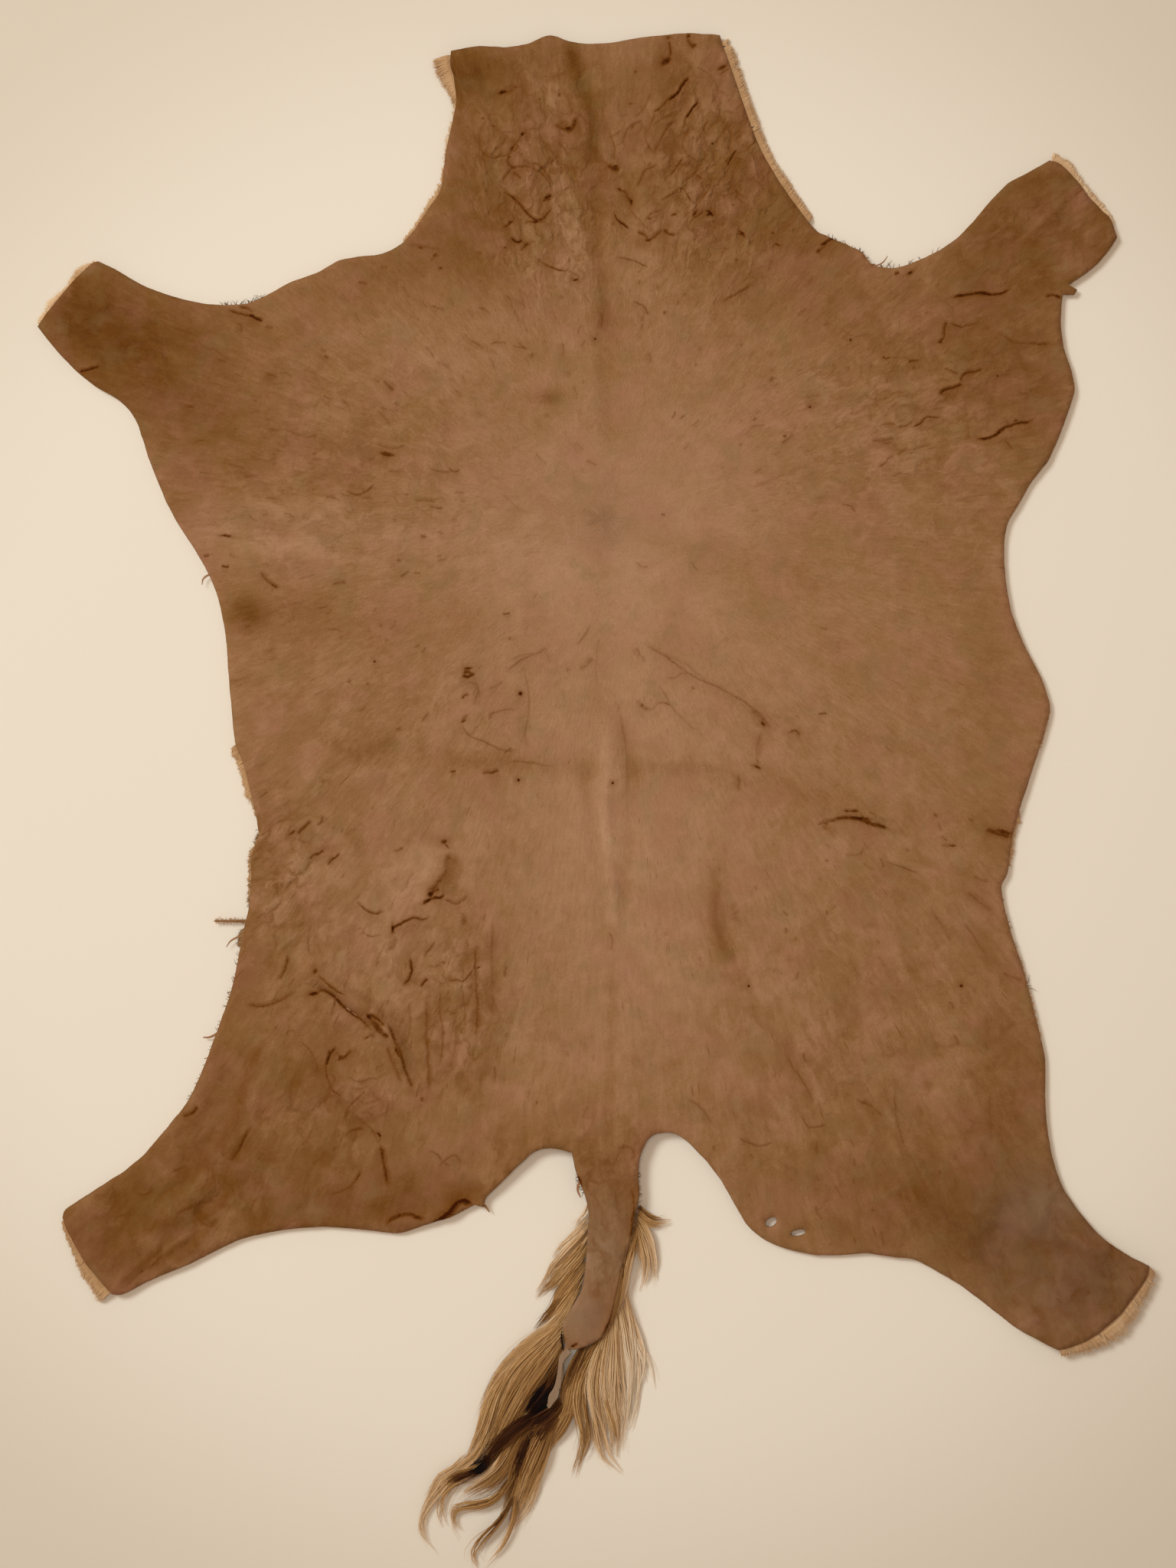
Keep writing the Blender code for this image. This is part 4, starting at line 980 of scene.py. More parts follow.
# Stains and shades in the skin, each soft at its rim. x, y, half width, half height,
# turn in degrees, strength: - is darker, + is paler
skinStains = (
    (-3, 255, 190, 130, 20, 0.42),          # pale middle of the back
    (25, -110, 130, 240, -4, 0.30),         # pale loin
    (60, 60, 240, 150, 0, 0.12),
    (-500, 455, 110, 85, -40, -0.66),       # left fore leg
    (-555, 490, 55, 50, -40, -0.30),
    (-390, 420, 150, 90, -25, -0.22),
    (-153, 738, 60, 40, 0, -0.62),          # olive corner of the neck
    (-60, 660, 150, 110, 0, -0.28),
    (120, 700, 90, 90, 0, -0.14),
    (44, 640, 30, 60, 0, -0.16),
    (-137, 714, 40, 30, 0, -0.14),
    (190, 590, 90, 60, -35, -0.45),         # right of the neck's foot
    (-200, 545, 110, 50, 10, -0.40),        # left of the neck's foot
    (-57, 398, 13, 8, 0, -0.55),
    (-371, 177, 19, 21, 20, -0.62),         # dark spot of the left flank
    (-330, 178, 80, 24, 6, -0.26),
    (-180, 158, 110, 30, 4, -0.18),
    (-262, 335, 34, 30, -20, -0.24),
    (-410, 350, 80, 60, 0, -0.20),
    (425, 560, 120, 90, 40, -0.50),         # right fore leg
    (470, 600, 50, 60, 40, -0.22),
    (410, 450, 110, 80, 0, -0.30),
    (440, 380, 60, 70, 0, -0.22),
    (200, 500, 120, 60, -20, -0.20),
    (120, 236, 90, 22, -6, -0.20),          # bands right of the middle
    (140, 200, 80, 24, -35, -0.12),
    (-391, -180, 70, 150, 8, -0.24),        # left flank and thigh
    (-500, -460, 130, 80, 38, -0.56),       # left hind leg
    (-400, -410, 120, 60, 20, -0.16),
    (-230, -420, 150, 45, 4, -0.42),
    (-300, -300, 110, 90, 0, -0.16),
    (470, -480, 130, 100, -35, -0.64),      # right hind leg
    (500, -530, 60, 50, -35, -0.34),
    (398, -480, 44, 30, -35, -0.16),
    (340, -440, 170, 60, -8, -0.42),
    (420, -300, 50, 130, -5, -0.26),
    (400, 60, 50, 160, 0, -0.14),
    (0, -345, 120, 60, 0, -0.14),
    (0, -420, 40, 70, 0, -0.34),            # tail
    (-21, 15, 15, 14, 0, -0.26),            # by the mark of the fold
    (28, 13, 9, 20, 4, -0.26),
    (163, -13, 90, 24, -8, -0.12),
    (-232, 40, 14, 9, 20, -0.40),
    (-410, -318, 44, 54, 30, -0.22),
    (-252, -424, 26, 30, 0, 0.14),
    (27, -286, 7, 7, 0, -0.26),
    (70, -288, 8, 6, 0, -0.24),
    (-260, 30, 10, 8, 0, -0.30),
    (-115, 22, 40, 10, 0, -0.26),
    (113, -112, 12, 40, 0, -0.26),
    (122, -175, 14, 38, 12, -0.34),
    (-171, -93, 12, 12, 0, -0.28),
    (70, 725, 30, 22, 60, -0.30),
    (-10, 190, 60, 60, 0, 0.10),
    (-145, 610, 34, 100, 4, -0.26),
    (-16, -560, 30, 50, 0, -0.24),
    (-250, -440, 110, 30, 4, -0.40),
    (-70, 480, 90, 50, 0, 0.04),
    (-245, 262, 130, 14, -6, 0.22),         # worn ridges of the left shoulder
    (-330, 245, 90, 10, -8, 0.20),
    (-300, 375, 60, 34, -20, 0.16),
    (-180, 440, 70, 40, 0, 0.14),
    (-245, -395, 20, 46, -4, 0.22),         # flat below the knot
    (330, 545, 24, 40, 40, 0.14),
    (321, 493, 50, 40, 0, 0.12),
    (-225, -150, 52, 70, 20, 0.20),
    (-319, 224, 60, 20, -8, 0.12),
    (-290, -120, 90, 60, 20, 0.10),
    (-197, -92, 26, 34, -30, 0.26),         # pale flat beside the torn edge
    (-145, -60, 36, 40, 0, 0.14),
    (8, -52, 60, 90, 0, 0.06),
)

# Long soft marks: half width, strength, path
skinMarks = (
    (8.5, -0.62, ((-40, 768), (-36, 750), (-30, 728), (-20, 703), (-14, 677), (-13, 650),
                  (-13, 636))),
    (7.5, -0.42, ((-12, 628), (-12, 594), (-10, 560), (-8, 530), (-5, 500), (-2, 465))),
    (13, -0.20, ((-4, 500), (0, 440), (3, 400), (5, 350))),
    (24, 0.22, ((-75, 730), (-55, 640), (-45, 560), (-30, 480))),
    (22, 0.10, ((30, 735), (26, 650), (28, 560), (36, 480))),
    # painted shadow along the torn edge of the thigh, on the side away from its flap
    (9, -0.26, ((-156, -70), (-160, -88), (-167, -101), (-177, -111), (-186, -121))),
    (13, 0.20, ((-176, -72), (-182, -92), (-196, -108), (-216, -130), (-232, -156), (-238, -190))),
    # darker along the two troughs of the middle fold and paler along its ridge: painted shade and
    # painted highlight
    (7, -0.18, ((-24, 17), (-18, -30), (-9, -72), (-3, -135), (4, -165))),
    (8, -0.24, ((17, 72), (24, 17), (24, -34), (19, -97), (14, -147))),
    (6, 0.26, ((-3, 60), (-2, -40), (4, -110), (7, -150))),
    (5, -0.22, ((5, -172), (3, -250), (0, -330), (0, -372))),
    (12, -0.14, ((-300, 34), (-240, 32), (-150, 24), (-60, 16), (5, 13))),
    (14, -0.13, ((5, 11), (103, 15), (163, 2), (210, -12), (300, -30), (423, -48))),
    (16, -0.16, ((-10, 280), (-8, 200), (-6, 100), (-4, 60))),
    (9, 0.22, ((-342, -254), (-358, -281), (-370, -309), (-376, -337), (-390, -365),
               (-409, -389), (-433, -410))),
    (7, -0.24, ((109, -105), (113, -141), (118, -168), (129, -186))),
    (6, -0.18, ((131, -184), (142, -209), (154, -236), (181, -272), (203, -308), (208, -340))),
    (3, 0.22, ((27, -317), (26, -353))),
    (5, 0.14, ((443, -487), (493, -508), (547, -515))),
    (5, -0.18, ((-393, -285), (-405, -313), (-417, -337), (-429, -357))),
    (12, 0.16, ((-440, 290), (-360, 283), (-270, 290))),
    (10, 0.18, ((-416, 258), (-370, 258), (-330, 244), (-290, 246))),
    (6, -0.30, ((-375, -360), (-384, -378), (-388, -388))),
    (5, -0.30, ((-430, -429), (-415, -446), (-403, -454))),
    (4, -0.20, ((-454, -479), (-480, -498), (-504, -518))),
    (5, 0.20, ((-464, -464), (-484, -481), (-504, -498))),
    (4, -0.20, ((-480, -412), (-470, -416), (-460, -419))),
    (4, -0.16, ((-528, -424), (-518, -427), (-509, -429))),
    (7, 0.16, ((-396, -428), (-420, -436), (-448, -452))),
)

# Where the skin is greyer: x, y, half width, half height, strength
greyPlaces = (
    (-30, -545, 34, 46, 0.45),
    (-10, -480, 34, 60, 0.45),
    (-52, -620, 26, 50, 1.0),
    (480, -500, 130, 90, 0.24),
    (443, -436, 56, 50, 0.42),
)

# Where creases and grain show most: x, y, half width, half height, strength
wrinkledPlaces = (
    (-70, 640, 110, 150, 1.0),
    (110, 640, 120, 160, 1.0),
    (-300, 340, 240, 200, 0.45),
    (350, 400, 200, 200, 0.60),
    (-260, -230, 190, 240, 0.60),
    (-155, -240, 60, 120, 1.0),
    (-345, -100, 70, 110, 0.95),
    (-290, -330, 110, 90, 0.95),
    (-480, 450, 130, 90, 0.60),
    (-420, -430, 180, 120, 0.9),
    (300, -300, 250, 260, 0.55),
    (-250, 60, 180, 150, 0.40),
    (-40, -400, 140, 70, 0.9),
    (200, 40, 160, 120, 0.25),
    (480, -500, 150, 120, 0.8),
    (440, 570, 120, 110, 0.8),
    (-6, -480, 34, 90, 0.8),
)


def ovalDistance(points, x, y, wide, high, turn):
    # squared distance from the middle of a turned oval, 1 at its rim
    turn = math.radians(turn)
    dx, dy = points[:, 0] - x, points[:, 1] - y
    u = (dx * math.cos(turn) + dy * math.sin(turn)) / wide
    v = (dy * math.cos(turn) - dx * math.sin(turn)) / high
    return u * u + v * v


def softSpot(points, x, y, wide, high, turn=0.0):
    return np.exp(-ovalDistance(points, x, y, wide, high, turn) * 1.1)


def skinTone(points):
    tone = np.zeros(len(points))
    for x, y, wide, high, turn, strength in skinStains:
        tone += strength * softSpot(points, x, y, wide, high, turn)
    for half, strength, path in skinMarks:
        distance, along, side = pathDistance(points, smoothPath(path, 15))
        ends = smoothStep(np.minimum(along, 1 - along) / 0.12 + 0.2)
        tone += strength * np.exp(-(distance / half) ** 2) * ends
    return tone


def spread(points, places):
    most = np.zeros(len(points))
    for x, y, wide, high, strength in places:
        most = np.maximum(most, strength * softSpot(points, x, y, wide, high))
    return most


def grainWaves(points, wavelengths, stretch=0.22):
    # unevenness drawn out along the grain, larger further from the middle of the back
    out = points - np.array(nicks["grainCentre"])
    reach = np.maximum(np.linalg.norm(out, axis=1), 20.0)
    heading = out / reach[:, None]
    total = np.zeros(len(points))
    for k, share in enumerate(wavelengths):
        places = [Vector((a / share, b / share, math.log(r) * stretch / share + 5 * k))
                  for (a, b), r in zip(heading, reach)]
        total += np.array([noise.noise(place) for place in places]) / (k + 1)
    return total


def creaseRelief(points):
    # height, and the painted shade and painted highlight that the creases add
    height, dark, pale = np.zeros((3, len(points)))
    for number, (kind, line, strength, half) in enumerate(creaseRows):
        row = creaseKinds[kind]
        room = half * 9
        low, high = line.min(axis=0) - room, line.max(axis=0) + room
        some = np.flatnonzero(np.all((points > low) & (points < high), axis=1))
        if not len(some):
            continue
        distance, along, side = pathDistance(points[some], line)
        u = distance * side / half
        ends = smoothStep(np.minimum(along, 1 - along) / 0.20 + 0.05) * strength
        if len(line) > 8:       # a long crease opens and closes along its way
            walked = along * len(line) * lineStep
            ends = ends * (0.90 + 0.4 * ripple(walked, 13, number * 0.9, 2.5))
        if kind == "soft":
            rise = row["lip"] * np.exp(-u * u) - row["depth"] * np.exp(-((u + 1.7) / 0.9) ** 2)
        else:
            lip = np.where(u >= 0, np.exp(-np.maximum(u, 0) / row["lipReach"]),
                           np.exp(-(u / 0.5) ** 2))
            rise = row["lip"] * lip - row["depth"] * np.exp(-((u + 0.7) / 0.75) ** 2)
        height[some] += rise * ends
        # painted shade in the hollow, and painted shadow that spreads from it, mostly on the side
        # away from the lip
        hollow = row["dark"] * np.exp(-((u + 0.45) / 0.75) ** 2)
        shade = (row["shade"] * smoothStep((9 - np.abs(u)) / 5)
                 * np.where(u < 0, np.exp(np.minimum(u, 0) / row["shadeReach"]),
                            np.exp(-np.maximum(u, 0) / 1.1)))
        dark[some] = np.maximum(dark[some], np.maximum(hollow, shade) * ends)
        # painted highlight on the raised lip
        paleLip = row["pale"] * np.where(u > 1, np.exp((1 - u) / (row["lipReach"] - 1.6)),
                                         np.exp(-((u - 1) / 0.8) ** 2))
        pale[some] = np.maximum(pale[some], paleLip * ends)
    # the dark cores: painted shade, with a soft brown halo round each
    for x, y, long, wide, turn, strength in darkSpots:
        off = ovalDistance(points, x, y, long, wide, turn)
        share = np.exp(-off ** 1.5) * strength
        height -= share * min(1.2, wide * 0.5)
        halo = np.exp(-off / 6) * strength * 0.3
        dark = np.maximum(dark, np.maximum(share * 1.1, halo))
    return height, dark, pale


def tannedSkinMaterial():
    # Brain- or alum-tanned antelope skin, flesh side up: a dry matt nap over a dense felt of
    # fibres, so light scatters and the stains, crinkles and worn ridges carry the look, with
    # painted shade in the creases and a painted highlight on their lips
    look = {
        "tones": ((0.00, "#5b320a"), (0.16, "#70471e"), (0.32, "#815732"), (0.46, "#906641"),
                  (0.58, "#9c7250"), (0.74, "#a87e5d"), (0.92, "#b38a6a")),
        # a brown for the real strokes and cracks that also tints the painted shade in furrows and
        # creases, a near black for the deepest painted shade in crease hollows, and a pale for the
        # painted highlight on crease lips
        "stainAndShadeBrown": "#6b3d10", "paintedShade": "#3c1400", "lipHighlight": "#aa8058", "grey": "#8d7964",
        "yellow": "#825f30", "valley": "#764f25", "rosy": "#a26a58", "olive": "#7d6740",
        # patches of another tint: size in metres, noise where they start and are full, strength
        "yellowPatch": (0.045, 0.46, 0.66, 0.28), "rosyPatch": (0.050, 0.48, 0.68, 0.26),
        "olivePatch": (0.032, 0.54, 0.68, 0.26),
        "cloudSize": 0.085, "mottleSize": 0.017, "grainSize": 0.010, "fibreSize": 0.0022,
        "cloud": 0.24, "mottle": 0.26, "grain": 0.26, "fibre": 0.23,
        # how fast a pattern changes along the grain: the lower, the more it is drawn out
        "grainDraw": 0.25, "crinkleDraw": 0.5, "lumpDraw": 0.75, "dashDraw": 0.10,
        "dash": 0.72, "dashSize": 0.0042,
        "lumpSize": 0.055, "lumpRim": 3.2, "crack": 0.62, "crackThin": 11.0, "lumpTone": 0.14,
        # furrows: size, how thin, size of the patches where they show, noise where these start
        "crinkleWide": (0.060, 15.0, 0.040, 0.46), "crinkleFine": (0.027, 8.0, 0.026, 0.44),
        "crinkleDark": 0.55, "crinkleTone": 0.30, "crinkleValley": 0.60,
        "fraySize": 0.0034, "fray": 1.5,
        # how far noise moves a pattern: scale of the noise, its detail, reach in metres
        "bend": (26.0, 2.0, 0.030), "stir": (95.0, 3.0, 0.022),
        # relief in metres
        "lumpDepth": 0.0016, "napDepth": 0.00020, "grainDepth": 0.0005, "mottleDepth": 0.0009,
        "crinkleDepth": 0.0005, "swellDepth": 0.0030,
        "roughness": 0.92, "sheen": 0.02, "sheenRoughness": 0.5, "specular": 0.05,
    }
    material, tree, shader = newMaterial("tannedAntelopeSkinFleshSide")

    def attribute(name):
        return addNode(tree, "ShaderNodeAttribute", attribute_name=name).outputs["Fac"]

    def combine(kind, operation, values, result=0):
        # values are numbers, or sockets to link
        links = {i: v for i, v in enumerate(values) if isinstance(v, bpy.types.NodeSocket)}
        inputs = {i: v for i, v in enumerate(values) if i not in links}
        return addNode(tree, kind, links, inputs, operation=operation).outputs[result]

    def maths(operation, *values):
        return combine("ShaderNodeMath", operation, values)

    def vectors(operation, *values, result=0):
        return combine("ShaderNodeVectorMath", operation, values, result)

    def cloud(place, size, detail=3.0, roughness=0.55):
        node = addNode(tree, "ShaderNodeTexNoise", {"Vector": place},
                       {"Scale": 1 / size, "Detail": detail, "Roughness": roughness})
        return node.outputs["Fac"]

    def between(value, low, high, to=1.0):
        return addNode(tree, "ShaderNodeMapRange", {"Value": value},
                       {"From Min": low, "From Max": high, "To Max": to}).outputs[0]

    def tint(amount, colour, hexColour):
        node = addNode(tree, "ShaderNodeMix", data_type="RGBA")
        tree.links.new(amount, node.inputs[0])
        tree.links.new(colour, node.inputs[6])
        node.inputs[7].default_value = linearColour(hexColour)
        return node.outputs[2]

    def swirled(start, source, scale, detail, reach):
        # start moved about by coarse noise, up to about half of reach each way
        drift = addNode(tree, "ShaderNodeTexNoise", {"Vector": source},
                        {"Scale": scale, "Detail": detail}).outputs["Color"]
        drift = vectors("SUBTRACT", drift, (0.5, 0.5, 0.5))
        drift = addNode(tree, "ShaderNodeVectorMath", {0: drift}, {"Scale": reach},
                        operation="SCALE").outputs[0]
        return vectors("ADD", start, drift)

    place = addNode(tree, "ShaderNodeTexCoord").outputs["Object"]
    bent = swirled(place, place, *look["bend"])

    # grain coordinates: heading from the middle of the back, and the log of the distance
    def grainCoordinates(source, draw):
        centreX, centreY = nicks["grainCentre"]
        away = vectors("SUBTRACT", source, (centreX * mm, centreY * mm, 0.0))
        flat = vectors("MULTIPLY", away, (1.0, 1.0, 0.0))
        reach = vectors("LENGTH", flat, result="Value")
        logReach = maths("LOGARITHM", maths("MAXIMUM", reach, 0.02), math.e)
        parts = addNode(tree, "ShaderNodeSeparateXYZ", {0: vectors("NORMALIZE", flat)})
        drawn = maths("MULTIPLY", logReach, draw)
        return addNode(tree, "ShaderNodeCombineXYZ", {
            "X": parts.outputs[0], "Y": parts.outputs[1], "Z": drawn}).outputs[0]

    grainPlace = grainCoordinates(place, look["grainDraw"])
    crinklePlace = grainCoordinates(bent, look["crinkleDraw"])

    wrinkled = attribute("wrinkled")
    clouds = cloud(place, look["cloudSize"], 4.0, 0.6)
    mottle = cloud(bent, look["mottleSize"], 4.0, 0.62)
    fibre = cloud(place, look["fibreSize"], 2.0, 0.7)
    grain = cloud(grainPlace, look["grainSize"], 3.0, 0.6)

    # crinkles: thin furrows where a swelling turns into the next, here and there
    def furrows(size, thin, patchSize, low):
        swell = cloud(crinklePlace, size, 3.0, 0.55)
        across = maths("MULTIPLY", maths("ABSOLUTE", maths("SUBTRACT", swell, 0.5)), thin)
        line = maths("SUBTRACT", 1.0, maths("MINIMUM", across, 1.0))
        return swell, maths("MULTIPLY", line, between(cloud(place, patchSize, 2.0), low, 0.60))

    wideSwell, wideFurrow = furrows(*look["crinkleWide"])
    fineSwell, fineFurrow = furrows(*look["crinkleFine"])
    furrow = maths("MAXIMUM", wideFurrow, maths("MULTIPLY", fineFurrow, 0.75))
    furrow = maths("MULTIPLY", furrow, wrinkled)

    # lumps with fine cracks between, as thin skin dries over the flesh side
    stirred = grainCoordinates(swirled(bent, place, *look["stir"]), look["lumpDraw"])
    lump = addNode(tree, "ShaderNodeTexVoronoi", {"Vector": stirred},
                   {"Scale": 1 / look["lumpSize"]}, feature="DISTANCE_TO_EDGE").outputs["Distance"]
    crack = maths("MINIMUM", maths("MULTIPLY", lump, look["crackThin"]), 1.0)
    crack = maths("SUBTRACT", 1.0, crack)
    lumpy = between(wrinkled, 0.25, 1.0)
    crack = maths("MULTIPLY", maths("MULTIPLY", crack, lumpy),
                  between(cloud(place, 0.024, 3.0), 0.44, 0.60))
    lump = maths("MINIMUM", maths("MULTIPLY", lump, look["lumpRim"]), 1.0)
    lump = maths("MULTIPLY", maths("SUBTRACT", lump, 0.5), lumpy)

    tone = maths("MULTIPLY_ADD", attribute("tone"), 0.5, 0.5)
    tone = maths("ADD", tone, maths("MULTIPLY", lump, look["lumpTone"]))
    for pattern, share in ((clouds, "cloud"), (mottle, "mottle"), (fibre, "fibre"),
                           (grain, "grain")):
        tone = maths("ADD", tone, maths("MULTIPLY", maths("SUBTRACT", pattern, 0.5), look[share]))
    swells = maths("SUBTRACT", maths("ADD", wideSwell, fineSwell), 1.0)
    swells = maths("MULTIPLY", maths("MULTIPLY", swells, wrinkled), look["crinkleTone"])
    tone = maths("ADD", tone, swells)
    colour = toneRamp(tree, tone, look["tones"])
    size, low, high, most = look["yellowPatch"]
    colour = tint(between(cloud(bent, size, 4.0, 0.6), low, high, most), colour, look["yellow"])
    for name in ("rosy", "olive"):
        size, low, high, most = look[name + "Patch"]
        patch = between(cloud(bent, size, 3.0), low, high)
        colour = tint(maths("MULTIPLY", patch, most), colour, look[name])
    # between the lumps of wrinkled skin the colour is deeper
    valley = between(maths("ADD", wideSwell, maths("MULTIPLY", fineSwell, 0.6)), 0.84, 0.66,
                     look["crinkleValley"])
    colour = tint(maths("MULTIPLY", valley, wrinkled), colour, look["valley"])
    colour = tint(maths("MULTIPLY", attribute("grey"), 0.8), colour, look["grey"])
    # painted highlight on the raised lips of creases
    colour = tint(attribute("lipHighlight"), colour, look["lipHighlight"])
    # painted shade in the furrows of the crinkles
    colour = tint(maths("MULTIPLY", furrow, look["crinkleDark"]), colour, look["stainAndShadeBrown"])
    colour = tint(maths("MULTIPLY", crack, look["crack"]), colour, look["stainAndShadeBrown"])
    # short dark strokes along the grain, where small membranes tore away
    strokes = cloud(grainCoordinates(place, look["dashDraw"]), look["dashSize"], 1.0, 0.5)
    strokes = between(strokes, 0.66, 0.80)
    strokes = maths("MULTIPLY", strokes,
                    between(cloud(place, 0.030, 2.0), 0.46, 0.62, look["dash"]))
    colour = tint(strokes, colour, look["stainAndShadeBrown"])
    # painted shade of the creases frays into the fibres at its rims
    fray = maths("SUBTRACT", cloud(place, look["fraySize"], 3.0, 0.7), 0.5)
    fray = maths("MULTIPLY_ADD", fray, look["fray"], 1.0)
    paintedShade = maths("MULTIPLY", attribute("paintedShade"), fray)
    # painted shade of creases and pits, brown at first and near black where deepest
    colour = tint(between(paintedShade, 0.0, 0.55), colour, look["stainAndShadeBrown"])
    colour = tint(between(paintedShade, 0.42, 1.0), colour, look["paintedShade"])
    tree.links.new(colour, shader.inputs["Base Color"])

    def bump(height, depth, below=None):
        links = {"Height": height} if below is None else {"Height": height, "Normal": below}
        return addNode(tree, "ShaderNodeBump", links,
                       {"Strength": 1.0, "Distance": depth}).outputs[0]

    swells = maths("ADD", wideSwell, maths("MULTIPLY", fineSwell, 0.45))
    folded = None
    for height, depth in ((maths("MULTIPLY", swells, wrinkled), "swellDepth"),
                          (maths("SUBTRACT", 1.0, furrow), "crinkleDepth"), (lump, "lumpDepth"),
                          (mottle, "mottleDepth"), (grain, "grainDepth"), (fibre, "napDepth")):
        folded = bump(height, look[depth], folded)
    tree.links.new(folded, shader.inputs["Normal"])
    shader.inputs["Roughness"].default_value = look["roughness"]
    shader.inputs["Sheen Weight"].default_value = look["sheen"]
    shader.inputs["Sheen Roughness"].default_value = look["sheenRoughness"]
    shader.inputs["Specular IOR Level"].default_value = look["specular"]
    return material


def closeSheet(upper, upperHeight, upperFaces, upperRims, lower, lowerHeight, lowerFaces, lowerRims,
               bulge):
    # joins two nets round their outlines by an edge that stands out a little at mid height
    vertices = [np.column_stack([upper, upperHeight]), np.column_stack([lower, lowerHeight])]
    faces = upperFaces + [[i + len(upper) for i in face[::-1]] for face in lowerFaces]
    count = len(upper) + len(lower)
    for number, (high, low) in enumerate(zip(upperRims, lowerRims)):
        turn = 1 if number == 0 else -1     # holes face the other way
        outline = upper[high] + outwardOf(upper[high]) * bulge * turn
        vertices.append(np.column_stack([outline, (upperHeight[high] + lowerHeight[low]) / 2]))
        ring = list(range(count, count + len(high)))
        count += len(high)
        low = [i + len(upper) for i in low]
        for over, under in ((high, ring), (ring, low)):
            for i in range(len(high)):
                j = (i + 1) % len(high)
                faces.append([over[i], under[i], under[j], over[j]][::turn])
    return np.vstack(vertices), faces


def makeSkin(material):
    taken = takenPlaces(3.0)
    fine = pointsInside(creasePoints(taken), coarseEdge, skinNet["creaseEdgeRoom"])
    even = evenPoints(skinNet["grid"], skinNet["jitter"], skinNet["seed"])
    even = pointsInside(even, coarseEdge, skinNet["edgeRoom"])
    even = np.array([place for place in even if not taken.near(place, skinNet["creaseRoom"])])
    upper, upperFaces, upperRims = netOver(np.vstack([fine, even]), edges)
    coarse = evenPoints(skinNet["undersideGrid"], skinNet["jitter"], skinNet["seed"] + 1)
    coarse = pointsInside(coarse, coarseEdge, skinNet["undersideRoom"])
    lower, lowerFaces, lowerRims = netOver(coarse, edges)

    wrinkled = spread(upper, wrinkledPlaces)
    # painted shade and painted highlight of the creases, kept as attributes for the shader
    rise, paintedShade, lipHighlight = creaseRelief(upper)
    rise += grainWaves(upper, (0.055, 0.024)) * skinNet["grainRise"] * wrinkled
    rise += waves(upper, 42, 2.0) * 0.45 + waves(upper, 15, 9.0) * 0.28 * (0.35 + wrinkled)
    upperHeight = skinUnderside(upper) + hideLie["thick"] + np.maximum(rise, skinNet["deepest"])
    lowerHeight = skinUnderside(lower)

    for high, low in zip(upperRims, lowerRims):     # the cut edge is a little rounded
        upperHeight[high] -= 0.3
        lowerHeight[low] += 0.1
    vertices, faces = closeSheet(upper, upperHeight, upperFaces, upperRims,
                                 lower, lowerHeight, lowerFaces, lowerRims, 0.25)
    flat = vertices[:, :2]
    below = np.zeros(len(flat) - len(upper))
    skin = newPiece("tannedSkin", vertices, faces, material, {
        "tone": skinTone(flat), "grey": spread(flat, greyPlaces),
        "wrinkled": np.concatenate([wrinkled, below]),
        "paintedShade": np.concatenate([paintedShade, below]), "lipHighlight": np.concatenate([lipHighlight, below])})
    triangles = sum(len(face) - 2 for face in faces)
    print("skin:", len(flat), "points,", triangles, "triangles")
    return skin


def hairMaterial(name, look):
    # dull single hairs: each strand carries its own shade, from pale to black
    material, tree, shader = newMaterial(name)
    shade = addNode(tree, "ShaderNodeAttribute", attribute_name="shade").outputs["Fac"]
    tree.links.new(toneRamp(tree, shade, look["tones"]), shader.inputs["Base Color"])
    shader.inputs["Roughness"].default_value = look["roughness"]
    shader.inputs["Specular IOR Level"].default_value = look["specular"]
    return material


def strandPiece(name, lines, radii, shades, material, room=None, flatten=1.0, label="shade"):
    # three-sided tapered tubes: lines is strands x stations x 3, the others strands x stations
    lines = np.asarray(lines, float)
    radii, shades = np.asarray(radii, float), np.asarray(shades, float)
    if room is not None:
        lines = settleStrands(lines, radii, room)
    count, stations = lines.shape[:2]
    ahead = np.gradient(lines, axis=1)
    ahead /= np.maximum(np.linalg.norm(ahead, axis=2, keepdims=True), 1e-9)
    side = np.cross(ahead, (0.0, 0.0, 1.0))
    side /= np.maximum(np.linalg.norm(side, axis=2, keepdims=True), 1e-9)
    over = np.cross(side, ahead)
    turns = np.radians((30.0, 150.0, 270.0))     # one flat side up, so hair lies soft in the light
    around = (side[:, :, None, :] * np.cos(turns)[None, None, :, None]
              + over[:, :, None, :] * np.sin(turns)[None, None, :, None] * flatten)
    rings = lines[:, :, None, :] + radii[:, :, None, None] * around
    first = np.arange(count)[:, None, None] * stations * 3
    step = np.arange(stations - 1)[None, :, None] * 3
    a = first + step + np.arange(3)[None, None, :]
    b = first + step + (np.arange(3)[None, None, :] + 1) % 3
    sides = np.stack([a, b, b + 3, a + 3], axis=3).reshape(-1, 4)
    starts = (first[:, 0, 0][:, None] + np.array([2, 1, 0])[None, :])
    ends = (first[:, 0, 0][:, None] + (stations - 1) * 3 + np.array([0, 1, 2])[None, :])
    faces = sides.tolist() + starts.tolist() + ends.tolist()
    piece = newPiece(name, rings.reshape(-1, 3), faces, material,
                     {label: np.repeat(shades.ravel(), 3)}, False)
    print(name + ":", count, "strands,", count * (6 * (stations - 1) + 2), "triangles")
    return piece


def settleStrands(lines, radii, room):
    # keeps the hidden part of each hair below the skin and all of it above the floor
    flat = lines[:, :, :2].reshape(-1, 2)
    within = insideOutline(flat, coarseEdge)
    height = lines[:, :, 2].reshape(-1)
    thick = radii.reshape(-1)
    ceiling = skinUnderside(flat[within]) - room - thick[within]
    height[within] = np.minimum(height[within], ceiling)
    lines[:, :, 2] = np.maximum(height, thick + 0.15).reshape(radii.shape)
    return lines


